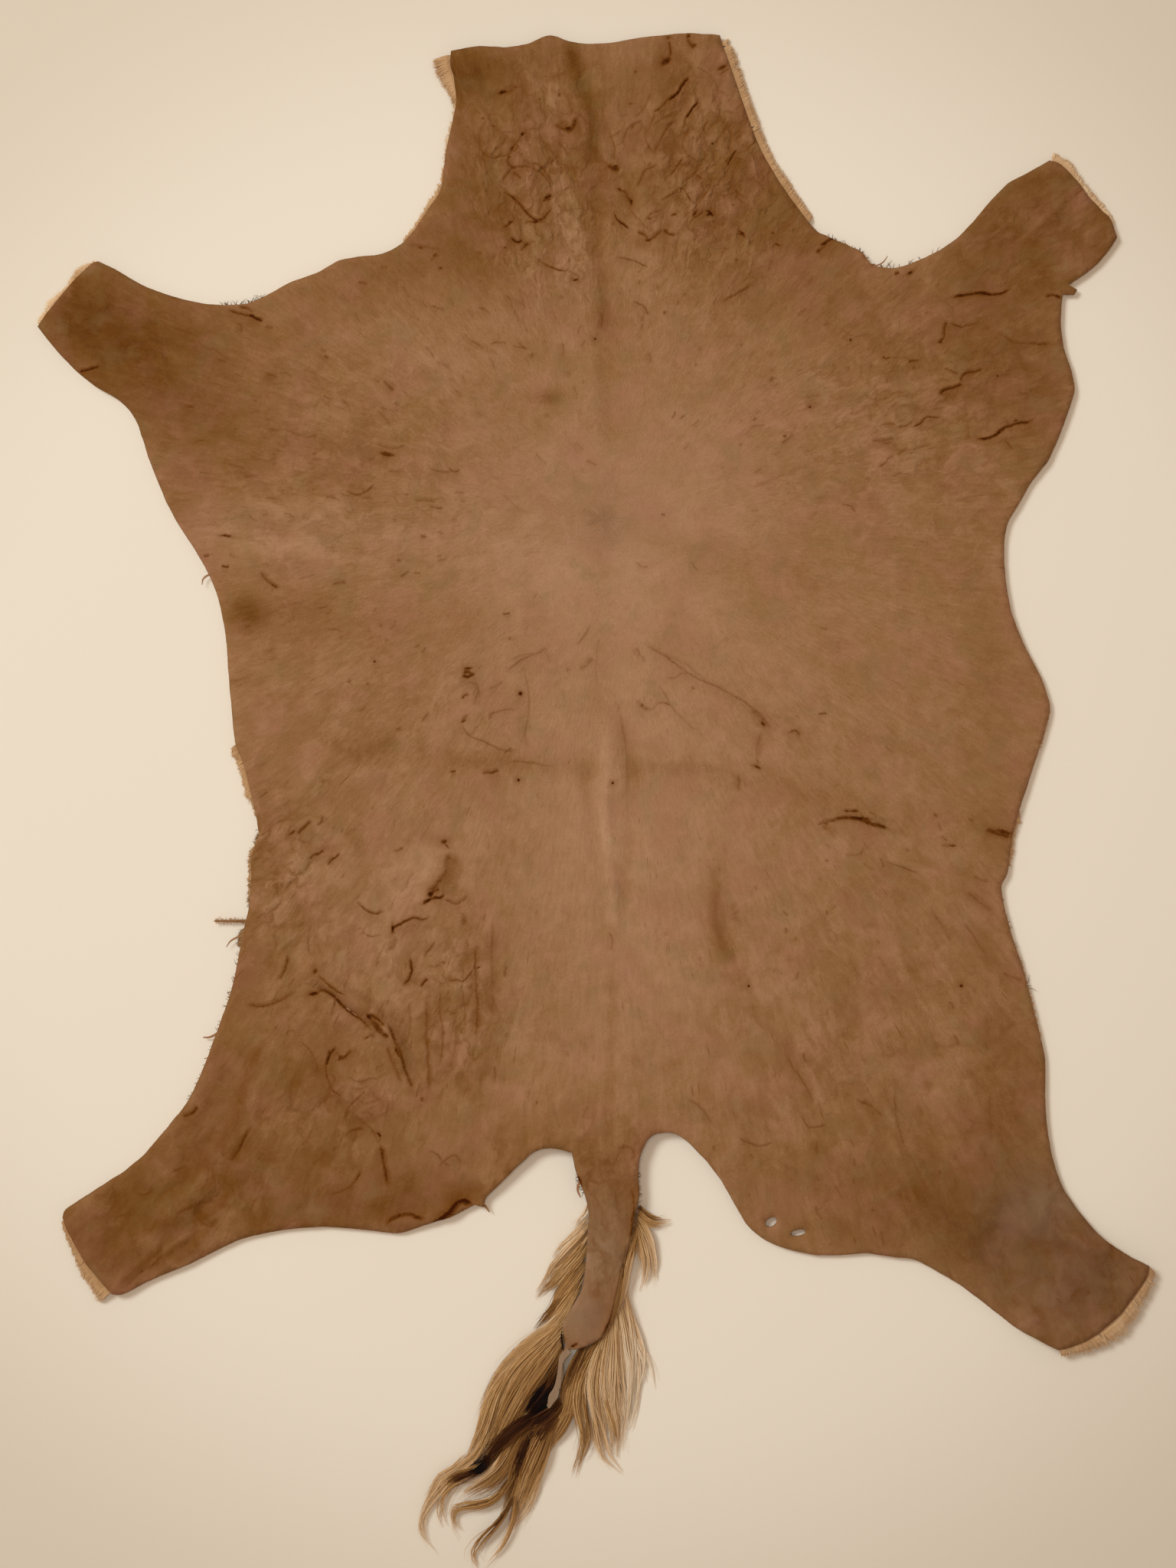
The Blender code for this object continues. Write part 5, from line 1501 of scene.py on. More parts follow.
# Long hair of the tail, lock by lock: strands, then at root, middle and tip the width, the
# shade and the height, how much it curls, and its path as x, y, x, y ...
tailLocks = {
    "tailHairLeft": (
        # fringe
        (24, (5, 5, 1), (0.1, 0.14, 0.2), (9, 6, 2), 2, -19, -431, -23, -441, -29, -450,
         -34, -457),
        (60, (8, 9, 2), (0.2, 0.14, 0.2), (10, 7, 2), 2, -18, -447, -29, -459, -41, -470,
         -51, -478, -56, -485),
        (110, (10, 15, 3), (0.32, 0.2, 0.28), (12, 8, 2), 3, -17, -455, -30, -471, -44, -486,
         -56, -498, -63, -509, -69, -517),
        (110, (10, 15, 3), (0.38, 0.3, 0.4), (12, 8, 2), 3, -18, -468, -31, -486, -44, -500,
         -55, -513, -64, -521, -70, -527),
        (110, (12, 14, 3), (0.42, 0.38, 0.34), (11, 8, 2), 3, -22, -487, -33, -502, -43, -516,
         -51, -527, -56, -539, -60, -546),
        (90, (10, 13, 3), (0.44, 0.5, 0.55), (11, 8, 2), 3, -26, -500, -36, -516, -47, -530,
         -57, -542, -65, -551, -71, -558),
        (90, (7, 13, 4), (0.42, 0.3, 0.3), (11, 9, 2), 3, -29, -513, -39, -529, -48, -543,
         -56, -555, -64, -566, -70, -572),
        # left mass
        (140, (10, 16, 5), (0.3, 0.32, 0.26), (11, 8, 2), 4, -29, -521, -43, -542, -61, -563,
         -81, -577, -97, -591, -110, -606, -119, -622, -126, -639, -130, -655),
        (100, (6, 13, 4), (0.34, 0.36, 0.26), (9, 8, 2), 4, -90, -589, -106, -608, -117, -626,
         -124, -645, -129, -662, -136, -678, -144, -692, -155, -704),
        (170, (10, 19, 6), (0.3, 0.32, 0.38), (12, 10, 2), 4, -32, -537, -47, -559, -68, -579,
         -86, -596, -101, -616, -110, -635, -116, -655, -122, -672, -132, -687),
        (70, (6, 10, 2), (0.34, 0.24, 0.12), (10, 8, 1.5), 6, -122, -660, -128, -679, -139, -695,
         -153, -705, -168, -717, -178, -730, -187, -745, -191, -758, -192, -770, -186, -780),
        (44, (6, 9, 2), (0.28, 0.2, 0.08), (9, 6, 1.5), 5, -144, -689, -157, -704, -172, -714,
         -181, -728, -190, -743, -194, -757),
        (150, (9, 18, 7), (0.36, 0.38, 0.52), (12, 11, 3), 4, -40, -551, -55, -572, -72, -592,
         -86, -612, -97, -631, -105, -649, -112, -664, -119, -680, -128, -693),
        (130, (7, 15, 8), (0.4, 0.5, 0.68), (12, 12, 3), 4, -41, -563, -56, -583, -70, -601,
         -81, -618, -89, -635, -97, -651, -105, -666),
        (120, (12, 20, 8), (0.4, 0.5, 0.5), (8, 7, 2), 4, -53, -592, -69, -616, -85, -637,
         -98, -658, -108, -676, -119, -695, -132, -708, -147, -716, -161, -722),
        (50, (5, 9, 2), (0.46, 0.34, 0.12), (11, 8, 1.5), 6, -114, -682, -128, -700, -144, -710,
         -157, -718, -168, -729, -173, -741, -174, -751, -170, -761),
    ),
    "tailHairMiddle": (
        # dark core
        (140, (5, 19, 5), (0.7, 1, 0.9), (12, 13, 6), 2, -53, -604, -58, -616, -65, -629,
         -73, -639, -81, -647, -89, -655),
        (110, (8, 20, 8), (0.98, 1, 0.92), (10, 12, 6), 2, -62, -622, -67, -633, -74, -642,
         -82, -648, -87, -651),
        (60, (4, 8, 5), (0.55, 0.66, 0.8), (12, 13, 10), 2, -47, -574, -49, -587, -55, -600,
         -61, -614, -68, -626),
        (100, (8, 13, 8), (0.74, 0.84, 0.78), (13, 12, 9), 3, -49, -635, -57, -643, -66, -650,
         -77, -656, -87, -660),
        (170, (9, 15, 7), (0.86, 0.78, 0.84), (13, 13, 7), 3, -72, -643, -83, -654, -97, -664,
         -108, -675, -117, -685, -124, -695, -132, -701),
        (80, (5, 11, 4), (0.78, 1, 0.72), (13, 13.5, 7), 2, -119, -688, -126, -697, -134, -704,
         -142, -708, -151, -712),
        (90, (6, 9, 3), (0.76, 0.68, 0.5), (12, 10, 2), 4, -132, -703, -144, -709, -156, -714,
         -166, -721, -173, -728),
        # at the skin
        (14, (1, 1.6, 1), (0.9, 0.85, 0.7), (14, 14, 13), 1, -47, -559, -48, -566, -47, -576,
         -45, -589),
        # middle
        (150, (8, 20, 9), (0.66, 0.72, 0.7), (12, 11, 4), 4, -47, -631, -56, -649, -66, -663,
         -75, -676, -81, -689, -85, -703),
        (50, (4, 7, 4), (0.76, 0.84, 0.82), (13, 13, 7), 4, -82, -663, -87, -679, -92, -693,
         -93, -705, -91, -720),
        (24, (2, 3, 2), (0.7, 0.72, 0.6), (13, 12, 6), 3, -77, -667, -82, -682, -87, -696,
         -89, -710),
        # golden foot
        (190, (10, 25, 10), (0.62, 0.44, 0.3), (11, 10, 2), 4, -52, -640, -63, -662, -72, -682,
         -79, -699, -85, -715, -89, -730, -94, -743, -99, -757),
        (130, (8, 18, 6), (0.72, 0.6, 0.34), (9, 10, 2), 4, -72, -651, -81, -674, -88, -692,
         -94, -708, -98, -722, -101, -734, -105, -747),
        (90, (6, 14, 4), (0.44, 0.2, 0.14), (8, 7, 1.5), 4, -49, -650, -58, -671, -66, -687,
         -72, -703, -76, -718, -79, -732, -86, -747, -94, -761),
        # left of the foot
        (140, (10, 19, 6), (0.7, 0.5, 0.44), (11, 9, 2), 5, -78, -648, -88, -667, -98, -687,
         -108, -704, -119, -717, -131, -725, -141, -730),
        (60, (6, 12, 4), (0.55, 0.26, 0.16), (9, 8, 2), 5, -90, -666, -101, -682, -111, -700,
         -124, -713, -137, -721, -149, -728, -157, -734),
        (50, (5, 8, 2), (0.6, 0.5, 0.2), (12, 9, 1.5), 5, -93, -703, -102, -718, -114, -734,
         -128, -742, -144, -745, -156, -747, -160, -754, -159, -763, -151, -774),
        (36, (5, 7, 2), (0.54, 0.42, 0.16), (11, 8, 1.5), 5, -95, -708, -106, -724, -119, -737,
         -135, -742, -149, -743, -159, -747, -161, -757, -156, -766),
        # loop
        (44, (5, 6, 1.5), (0.62, 0.52, 0.2), (10, 8, 1.5), 5, -97, -732, -106, -751, -118, -766,
         -128, -776, -136, -787, -139, -796, -135, -806),
        (36, (4, 5, 1.5), (0.5, 0.34, 0.1), (10, 7, 1.5), 5, -94, -732, -97, -755, -103, -771,
         -109, -784, -117, -797, -124, -808),
        (16, (2, 2, 1), (0.8, 0.76, 0.6), (12, 10, 4), 2, -103, -745, -110, -754, -119, -764,
         -127, -773),
    ),
    "tailHairRight": (
        # between the masses
        (80, (6, 9, 5), (0.6, 0.62, 0.46), (13, 12, 6), 3, -24, -576, -33, -593, -40, -608,
         -45, -621, -48, -634),
        (140, (9, 18, 6), (0.54, 0.44, 0.34), (12, 10, 2), 4, -19, -575, -31, -599, -38, -618,
         -41, -637, -46, -654, -53, -667, -61, -678),
        (90, (10, 14, 5), (0.5, 0.42, 0.34), (11, 9, 2), 5, -36, -632, -42, -650, -50, -664,
         -60, -678, -70, -690),
        # right mass
        (60, (4, 8, 4), (0.6, 0.56, 0.44), (13, 12, 7), 3, -4, -563, -13, -578, -21, -591,
         -28, -605, -32, -621),
        (120, (8, 17, 3), (0.4, 0.3, 0.32), (12, 10, 2), 4, -7, -568, -20, -596, -27, -616,
         -29, -634, -27, -653, -24, -668, -26, -684, -31, -700),
        (26, (3, 4, 2), (0.52, 0.52, 0.46), (13, 10, 3), 4, -26, -618, -24, -637, -21, -655,
         -20, -671, -24, -687, -32, -703),
        (170, (9, 21, 7), (0.32, 0.22, 0.22), (12, 11, 2), 4, 1, -558, -8, -587, -13, -610,
         -13, -631, -10, -650, -6, -667, -4, -682),
        (150, (8, 22, 7), (0.32, 0.22, 0.24), (12, 11, 2), 4, 6, -544, 3, -576, 1, -603, 1, -624,
         4, -645, 7, -663, 7, -682),
        (60, (7, 9, 2), (0.3, 0.3, 0.36), (12, 8, 1.5), 4, -4, -624, 1, -642, 6, -659, 8, -674,
         7, -684),
        (110, (8, 20, 6), (0.32, 0.14, 0.04), (11, 8, 2), 5, 9, -530, 13, -558, 15, -587, 17, -610,
         18, -631, 17, -653, 14, -671),
        (64, (6, 18, 7), (0.34, 0.1, 0.0), (10, 6, 1.5), 6, 17, -518, 22, -552, 26, -576, 29, -597,
         29, -618, 26, -639, 22, -655),
        (24, (4, 12, 7), (0.24, 0.1, 0.0), (9, 5, 1.2), 6, 15, -545, 24, -566, 32, -584, 38, -600,
         43, -616),
        (24, (8, 18, 10), (0.36, 0.2, 0.04), (9, 6, 1.2), 6, -16, -639, -12, -660, -8, -679,
         -3, -695, 7, -708),
        # side tuft
        (150, (10, 11, 9), (0.42, 0.4, 0.5), (12, 12, 10), 2, 25, -456, 20, -476, 15, -494,
         11, -512, 8, -528, 5, -542, 0, -557, -8, -570),
        (70, (6, 9, 5), (0.3, 0.2, 0.2), (11, 9, 3), 3, 27, -464, 23, -484, 18, -504, 15, -522,
         11, -540, 7, -556),
        # near black strands along a slit in the hair: painted shade of the slit
        (8, (1, 1.2, 0.6), (0.9, 0.95, 0.8), (15, 15, 15), 1, 17, -487, 16, -495, 13, -508),
        (60, (6, 7, 1.5), (0.56, 0.46, 0.2), (12, 9, 3), 3, 30, -435, 36, -441, 44, -447, 52, -449,
         61, -449),
        (60, (7, 8, 2), (0.5, 0.38, 0.2), (12, 9, 3), 3, 28, -441, 36, -447, 45, -453, 52, -455,
         55, -455),
        (90, (9, 11, 2.5), (0.4, 0.18, 0.12), (12, 8, 2), 3, 28, -445, 35, -455, 41, -467,
         45, -480, 48, -493, 49, -505),
        (90, (8, 11, 2.5), (0.4, 0.24, 0.18), (12, 8, 2), 3, 27, -450, 31, -464, 35, -478,
         38, -492, 38, -505, 36, -516),
        (80, (8, 9, 4), (0.5, 0.46, 0.36), (12, 10, 3), 3, 27, -452, 27, -466, 24, -482, 20, -496,
         17, -508),
    ),
}

tailHair = {
    "seed": 5,
    "stations": 9,
    "radius": (0.34, 0.36, 0.08),   # root, middle, tip
    "clump": 10,                    # strands that end in one point
    "gather": 0.55,                 # how far they draw together
    "uneven": 0.26,                 # difference in length
    "shadeUneven": 0.04,
    "strandShade": 0.03,
    "paleEdge": 0.06,               # how much paler a lock is along its sides
    "streaks": 0.08,                # share of darker strands
    "streakTone": (0.08, 0.26),     # how much darker they are
    "stagger": 0.16,                # how much later the last strand starts
    "flyaway": 0.15,                # share of strands that leave their lock
    "flyReach": 4.5,                # how far they leave it, mm
    "fan": 0.9,                     # share of a lock's half width that its clumps fill
    "clumpFan": 0.26,               # how wide a clump spreads at its root
    "layers": (0.45, 1.0),          # share of the lock's height, lowest and highest clump
    "sway": (0.2, 0.8),             # share of the lock's curl
    "pace": (1.2, 2.2),             # waves in 220 mm of hair
    # coarse guard hair, sun-bleached gold at the sides and nearly black at the core
    "tones": ((0.00, "#e6d2b4"), (0.15, "#d6b389"), (0.30, "#be935f"), (0.45, "#a17441"),
              (0.60, "#7a5023"), (0.75, "#4c270b"), (0.90, "#240a01"), (1.00, "#020000")),
    "roughness": 0.66,
    "specular": 0.12,
}


def alongLine(line, shares):
    # points at shares of a line's length
    walked = np.concatenate([[0], np.cumsum(np.linalg.norm(np.diff(line, axis=0), axis=1))])
    wanted = np.clip(shares, 0, 1.12) * walked[-1]
    inside = [np.interp(wanted, walked, line[:, k]) for k in range(line.shape[1])]
    beyond = np.maximum(wanted - walked[-1], 0)[:, None]
    end = line[-1] - line[-2]
    return np.stack(inside, axis=1) + beyond * end / np.linalg.norm(end)


def threeWay(values, t):
    # root, middle and tip values blended along t
    root, middle, tip = values
    return np.where(t < 0.5, root + (middle - root) * smoothStep(t * 2),
                    middle + (tip - middle) * np.clip(t * 2 - 1, 0, 1) ** 1.25)


def lockStrands(row, dice):
    count, widths, shades, heights, curl, *path = row
    line = smoothPath(pairs(path), 4.0)
    length = float(np.linalg.norm(np.diff(line, axis=0), axis=1).sum())
    u = np.linspace(0, 1, tailHair["stations"])
    lines, radii, tints = [], [], []
    clumps = max(3, round(count / tailHair["clump"]))
    order = dice.permutation(clumps)
    for c in range(clumps):
        centre = ((order[c] + dice.uniform(0.1, 0.9)) / clumps * 2 - 1) * tailHair["fan"]
        ends = 1.0 + dice.uniform(-1.0, 0.5) * tailHair["uneven"]
        layer = dice.uniform(*tailHair["layers"])
        phase, pace = dice.uniform(0, 6.28), dice.uniform(*tailHair["pace"])
        sway = curl * dice.uniform(*tailHair["sway"])
        clumpShade = dice.normal(0, tailHair["shadeUneven"])
        for k in range(max(1, round(count / clumps))):
            reach = ends * (1.0 + dice.uniform(-0.16, 0.03))
            loose = dice.random() < tailHair["flyaway"]
            start = dice.uniform(0, tailHair["stagger"])
            t = start + u * (reach - start)
            middle = alongLine(line, t)
            left = leftOf(middle)
            own = np.clip(centre + dice.normal(0, tailHair["clumpFan"]), -1.05, 1.05)
            gather = 0.1 if loose else tailHair["gather"]
            across = own + (centre - own) * gather * smoothStep(t * 1.1)
            wander = (sway * np.sin(phase + pace * t * math.tau * length / 220) * t
                      + dice.normal(0, 0.3) * np.sin(dice.uniform(0, 6.28) + 7 * t) * t)
            if loose:
                wander = wander + dice.normal(0, tailHair["flyReach"]) * t ** 2
            flat = middle + left * (across * threeWay(widths, t) / 2 + wander)[:, None]
            height = (threeWay(heights, t) * (layer + dice.normal(0, 0.06))
                      * (0.55 + 0.45 * smoothStep(u / 0.25)) + 0.4)
            lines.append(np.column_stack([flat, height]))
            radii.append(threeWay(tailHair["radius"], u) * (0.3 + 0.7 * smoothStep(u / 0.2)))
            streaked = dice.random() < tailHair["streaks"]
            streak = dice.uniform(*tailHair["streakTone"]) if streaked else 0.0
            tints.append(threeWay(shades, t) + clumpShade + dice.normal(0, tailHair["strandShade"])
                         + streak - tailHair["paleEdge"] * abs(own) ** 3)
    return lines, radii, tints


def makeTailHair(material):
    dice = np.random.default_rng(tailHair["seed"])
    pieces = []
    for name, locks in tailLocks.items():
        lines, radii, tints = [], [], []
        for row in locks:
            for target, more in zip((lines, radii, tints), lockStrands(row, dice)):
                target += more
        pieces.append(strandPiece(name, lines, radii, np.clip(tints, 0, 1), material, 0.5))
    return pieces


# Short hair that shows past the cut edge. rows: from, to, strands a millimetre, reach, share
# of the reach at start, middle and end, how uneven, sweep along the edge, shade at root and tip
rimHair = {
    "seed": 21,
    "rows": (
        ((-161, 750), (-157, 704), 12, 21, (1.0, 0.7, 0.1), 0.05, 5, (0.36, 0.28)),  # neck corner
        ((-157, 698), (-166, 640), 2.5, 3.5, (0.6, 1, 0.8), 0.3, -3, (0.16, 0.30)),  # neck, left
        ((-168, 634), (-212, 560), 6, 6, (0.6, 1, 0.3), 0.2, -5, (0.38, 0.24)),  # neck, left
        ((-528, 537), (-552, 510), 9, 8, (0.3, 1, 0.3), 0.15, 2, (0.34, 0.20)),  # left fore
        ((-552, 512), (-584, 475), 9, 8, (0.3, 1, 0.7), 0.2, 2, (0.30, 0.10)),  # left fore
        ((-383, 40), (-362, -30), 9, 9, (0.8, 1, 0.2), 0.3, 5, (0.40, 0.22)),  # left flank
        ((-364, -50), (-374, -120), 5, 5, (0.6, 1, 0.6), 0.4, 4, (0.40, 0.34)),  # left thigh
        ((-374, -149), (-379, -166), 6, 7, (0.6, 1, 0.6), 0.3, 2, (0.45, 0.60)),  # tuft of it
        ((-560, -450), (-513, -522), 11, 18, (0.2, 0.6, 1.0), 0.06, 3, (0.38, 0.24)),  # left hind
        ((464, -583), (557, -497), 11, 20, (0.5, 1.1, 0.5), 0.05, -1, (0.27, 0.22)),  # right hind
        ((411, -80), (424, -28), 4, 5, (0.6, 1, 0.6), 0.3, -4, (0.38, 0.24)),  # right flank
        ((455, 72), (440, 24), 2, 2.5, (0.6, 1, 0.6), 0.3, -3, (0.2, 0.3)),  # right flank
        ((425, -182), (446, -262), 2, 2.2, (0.6, 1, 0.6), 0.3, -3, (0.2, 0.34)),  # right flank
        ((460, 642), (488, 616), 10, 11, (0.9, 1, 0.5), 0.1, -3, (0.28, 0.14)),  # right fore
        ((489, 614), (518, 575), 9, 8, (1.0, 0.8, 0.4), 0.15, -3, (0.24, 0.12)),  # right fore
        ((117, 758), (162, 651), 14, 10.5, (0.9, 1, 0.85), 0.05, -4, (0.36, 0.22)),  # neck, right
        ((161, 653), (206, 579), 14, 10, (0.9, 1, 0.7), 0.05, -4, (0.37, 0.22)),  # neck, right
    ),
    "stations": 4,
    "radius": (0.30, 0.30, 0.08),
    "feltEvery": 5,         # one wide strand of underhair for so many fine ones
    "feltRadius": (1.2, 1.5, 0.5),
    "clumpWidth": 9,
    "lobe": 26,             # millimetres from one longer place to the next
    "rootIn": 4.0,
    "gather": 0.12,         # how far a clump's tips draw together
    "lean": 0.05,           # how much a clump turns aside, as a share of its reach
    "clumpShade": 0.015,
    "strandShade": 0.03,
    # pile of foot and neck: pale cream to tan, weathered brown where the tips lie open
    "tones": ((0.00, "#f1e2c8"), (0.15, "#dfc19a"), (0.30, "#c39a6e"), (0.45, "#a0764a"),
              (0.62, "#74512f"), (0.80, "#402812"), (1.00, "#170c05")),
    "roughness": 0.68,
    "specular": 0.16,
}


def edgeBetween(start, end):
    # the shorter way along the cut edge between two places, as points
    first = int(np.argmin(np.linalg.norm(hideEdge - np.array(start), axis=1)))
    last = int(np.argmin(np.linalg.norm(hideEdge - np.array(end), axis=1)))
    ahead, back = (last - first) % len(hideEdge), (first - last) % len(hideEdge)
    if ahead <= back:
        return np.array([(first + k) % len(hideEdge) for k in range(ahead + 1)])
    return np.array([(first - k) % len(hideEdge) for k in range(back + 1)])


def makeRimHair(material):
    dice = np.random.default_rng(rimHair["seed"])
    outward = outwardOf(hideEdge)
    u = np.linspace(0, 1, rimHair["stations"])
    lines, radii, tints = [], [], []
    for start, end, dense, reach, profile, uneven, sweep, shades in rimHair["rows"]:
        walk = edgeBetween(start, end)
        length = float(np.linalg.norm(np.diff(hideEdge[walk], axis=0), axis=1).sum())
        along = hideEdge[walk[-1]] - hideEdge[walk[0]]
        along = along / np.linalg.norm(along)
        clumps = max(2, round(length / rimHair["clumpWidth"]))
        longer = 1 + dice.uniform(-1, 0.6, clumps) * uneven
        lean = dice.normal(0, rimHair["lean"], clumps)
        shadeShift = dice.normal(0, rimHair["clumpShade"], clumps)
        across = outward[walk].mean(axis=0)
        for k in range(round(length * dense)):
            share = dice.random()
            c = min(int(share * clumps), clumps - 1)
            pulled = share + ((c + 0.5) / clumps - share) * rimHair["gather"]
            rootPlace, tipPlace = (walk[min(int(s * len(walk)), len(walk) - 1)]
                                   for s in (share, pulled))
            out = outward[rootPlace] * 0.4 + across * 0.6
            lobe = noise.noise(Vector((share * length / rimHair["lobe"], start[0] / 50, 3.0)))
            grow = (reach * float(np.interp(share, (0, 0.5, 1), profile)) * longer[c]
                    * (1 + 1.6 * uneven * lobe) * (1 - 0.5 * dice.random() ** 2))
            root = hideEdge[rootPlace] - out * rimHair["rootIn"] * dice.uniform(0.4, 1.0)
            aside = sweep * dice.uniform(0.6, 1.2) + lean[c] * reach
            tip = hideEdge[tipPlace] + out * grow + along * aside + dice.normal(0, 1.0, 2)
            bend = hideEdge[rootPlace] + out * grow * 0.45 + along * sweep * 0.25
            flat = bowed(root, bend, tip, u)
            base = liftAt(flat)
            rootHeight = dice.uniform(hideLie["pile"] * 0.6, hideLie["pile"] + 0.8)
            tipHeight = dice.uniform(0.8, 3.0)
            height = base * (1 - 0.35 * u) + rootHeight + (tipHeight - rootHeight) * u ** 3
            tint = shades[0] + (shades[1] - shades[0]) * u ** 1.8 + shadeShift[c]
            felt = k % rimHair["feltEvery"] == 0
            if felt:
                flat = root + (flat - root) * 0.92
                height = base * (1 - 0.35 * u) + (hideLie["pile"] - 0.2) * (1 - u ** 2.5) + 0.7
            lines.append(np.column_stack([flat, height]))
            radii.append(threeWay(rimHair["feltRadius" if felt else "radius"], u))
            tints.append(tint + (0.02 if felt else dice.normal(0, rimHair["strandShade"])))
    return strandPiece("rimHair", lines, radii, np.clip(tints, 0, 1), material, 0.3)


# Pile under the whole cut edge, seen from the side, and the few dark bristles that stand out
edgePile = {
    "seed": 31,
    "dense": 1.0,           # strands a millimetre
    "reach": (-0.8, 0.9),   # past the edge
    "stations": 4,
    "radius": (0.34, 0.32, 0.09),
    "shade": 0.36,
    "cloudShade": 0.16,     # how much the shade changes from place to place
    "strandShade": 0.06,
    "bristleRadius": (0.46, 0.36, 0.10),
    "bristles": (
        # from, to, how many, reach, shade
        ((-398, 493), (-350, 491), 30, 6, 0.72),
        ((224, 568), (282, 533), 34, 4, 0.68),
        ((282, 533), (300, 532), 7, 9, 0.72),
        ((-363, -40), (-374, -128), 46, 5, 0.62),
        ((-376, -150), (-402, -255), 36, 4, 0.62),
        ((-403, -258), (-432, -326), 20, 3, 0.62),
        ((310, 535), (344, 551), 8, 5, 0.68),
        ((412, -70), (420, -170), 14, 4, 0.62),
        ((428, -195), (434, -215), 3, 11, 0.74),
        ((-32, -401), (-24, -421), 16, 5, 0.72),
        ((30, -395), (22, -470), 26, 4, 0.68),
    ),
}


def makeEdgePile(material):
    dice = np.random.default_rng(edgePile["seed"])
    outward = outwardOf(hideEdge)
    u = np.linspace(0, 1, edgePile["stations"])
    lines, radii, tints = [], [], []
    tail = onTail(hideEdge)
    perPoint = edgePile["dense"] * cutEdge["step"]
    for i, place in enumerate(hideEdge):
        if tail[i]:
            continue
        for k in range(int(perPoint + dice.random())):
            out = outward[i]
            along = np.array([-out[1], out[0]])
            start = place + along * dice.uniform(-1.1, 1.1)
            root = start - out * dice.uniform(2.0, 5.0)
            tip = start + out * dice.uniform(*edgePile["reach"]) + along * dice.normal(0, 1.2)
            flat = root + (tip - root) * u[:, None]
            rootHeight = dice.uniform(1.0, hideLie["pile"] - 0.3)
            height = liftAt(flat) + rootHeight - (rootHeight - dice.uniform(0.3, 2.6)) * u ** 1.4
            lines.append(np.column_stack([flat, height]))
            radii.append(threeWay(edgePile["radius"], u))
            cloud = noise.noise(Vector((place[0] / 90, place[1] / 90, 4.0)))
            shade = edgePile["shade"] + edgePile["cloudShade"] * cloud
            tints.append(shade + dice.normal(0, edgePile["strandShade"]) + 0.08 * u)
    pile = strandPiece("edgePile", lines, radii, np.clip(tints, 0, 1), material, 0.25)
    lines, radii, tints = [], [], []
    for start, end, count, reach, shade in edgePile["bristles"]:
        walk = edgeBetween(start, end)
        for k in range(count):
            i = walk[int(dice.random() * len(walk))]
            out = outward[i]
            along = np.array([-out[1], out[0]]) * dice.normal(0, 0.7)
            root = hideEdge[i] - out * 2.5
            tip = hideEdge[i] + (out + along) * reach * dice.uniform(0.3, 1.1)
            bend = hideEdge[i] + (out - along * 0.3) * reach * 0.3
            flat = bowed(root, bend, tip, u)
            height = liftAt(flat) + dice.uniform(2.5, 4.0) + u * dice.uniform(-2.0, 3.0)
            lines.append(np.column_stack([flat, height]))
            radii.append(threeWay(edgePile["bristleRadius"], u))
            tints.append(np.full(len(u), shade + dice.normal(0, edgePile["strandShade"])))
    bristles = strandPiece("edgeBristles", lines, radii, np.clip(tints, 0, 1), material, 0.25)
    return pile, bristles


# Shreds of dried skin that hang from the cut edge and the bare skin beyond the tail:
# half width at root, middle and tip, height over the floor, grey, path
skinShreds = (
    ((1.2, 1.0, 0.3), 5.5, 0, ((-372, -154), (-382, -158), (-389, -162), (-393, -168))),
    ((1.5, 1.3, 0.6), 5.5, 0, ((-396, -252), (-404, -258), (-411, -261), (-417, -261))),
    ((1.1, 0.9, 0.3), 5.5, 0, ((-402, -276), (-409, -281), (-416, -283))),
    ((1.2, 1.0, 0.3), 5.5, 0, ((-405, 217), (-412, 215), (-417, 211), (-418, 205))),
    ((1.8, 1.4, 0.5), 12.5, 0, ((-25, -404), (-30, -411), (-31, -418), (-28, -425))),
    ((0.5, 0.4, 0.2), 5.5, 0, ((410, -194), (419, -197), (428, -202), (433, -206))),
    ((1.6, 1.2, 0.5), 5.5, 0, ((-134, -430), (-127, -434), (-122, -441))),
    ((1.0, 0.8, 0.3), 5.5, 0, ((268, 536), (277, 534), (284, 538), (288, 544))),
    ((0.8, 0.6, 0.3), 12.0, 0, ((24, -440), (27, -450), (25, -461))),
    ((3.2, 2.0, 3.2), 14.5, 0.8, ((-40, -581), (-48, -592), (-50, -607), (-52, -620))),
    ((2.4, 4.6, 0.8), 14.5, 0.9, ((-52, -616), (-54, -624), (-58, -632), (-61, -641))),
)


def makeShreds(material):
    lines, radii, greys = [], [], []
    u = np.linspace(0, 1, 9)
    for halves, height, grey, path in skinShreds:
        line = alongLine(smoothPath(path, 1.5), u)
        rise = height + np.sin(u * 5 + path[0][0]) * 0.4 - u * 0.8
        lines.append(np.column_stack([line, rise]))
        radii.append(threeWay(halves, u) * 1.15)
        greys.append(np.full(len(u), grey))
    return strandPiece("skinShreds", lines, radii, greys, material, flatten=0.45, label="grey")


# Hair side of the hide: a low sheet of pressed pile under the skin
coatSheet = {
    "inset": 1.7,           # from the skin's cut edge
    "grid": 9.0,
    "jitter": 1.2,
    "edgeRoom": 7.0,
    "seed": 8,
    "relief": 0.9,          # locks of the pile, seen from below
    # reddish back, tan sides and cream belly
    "tones": ((0.00, "#efe3cd"), (0.35, "#d0a877"), (0.60, "#a06d3b"), (0.85, "#7d4c24"),
              (1.00, "#5d3518")),
    "roughness": 0.7,
    "specular": 0.2,
}


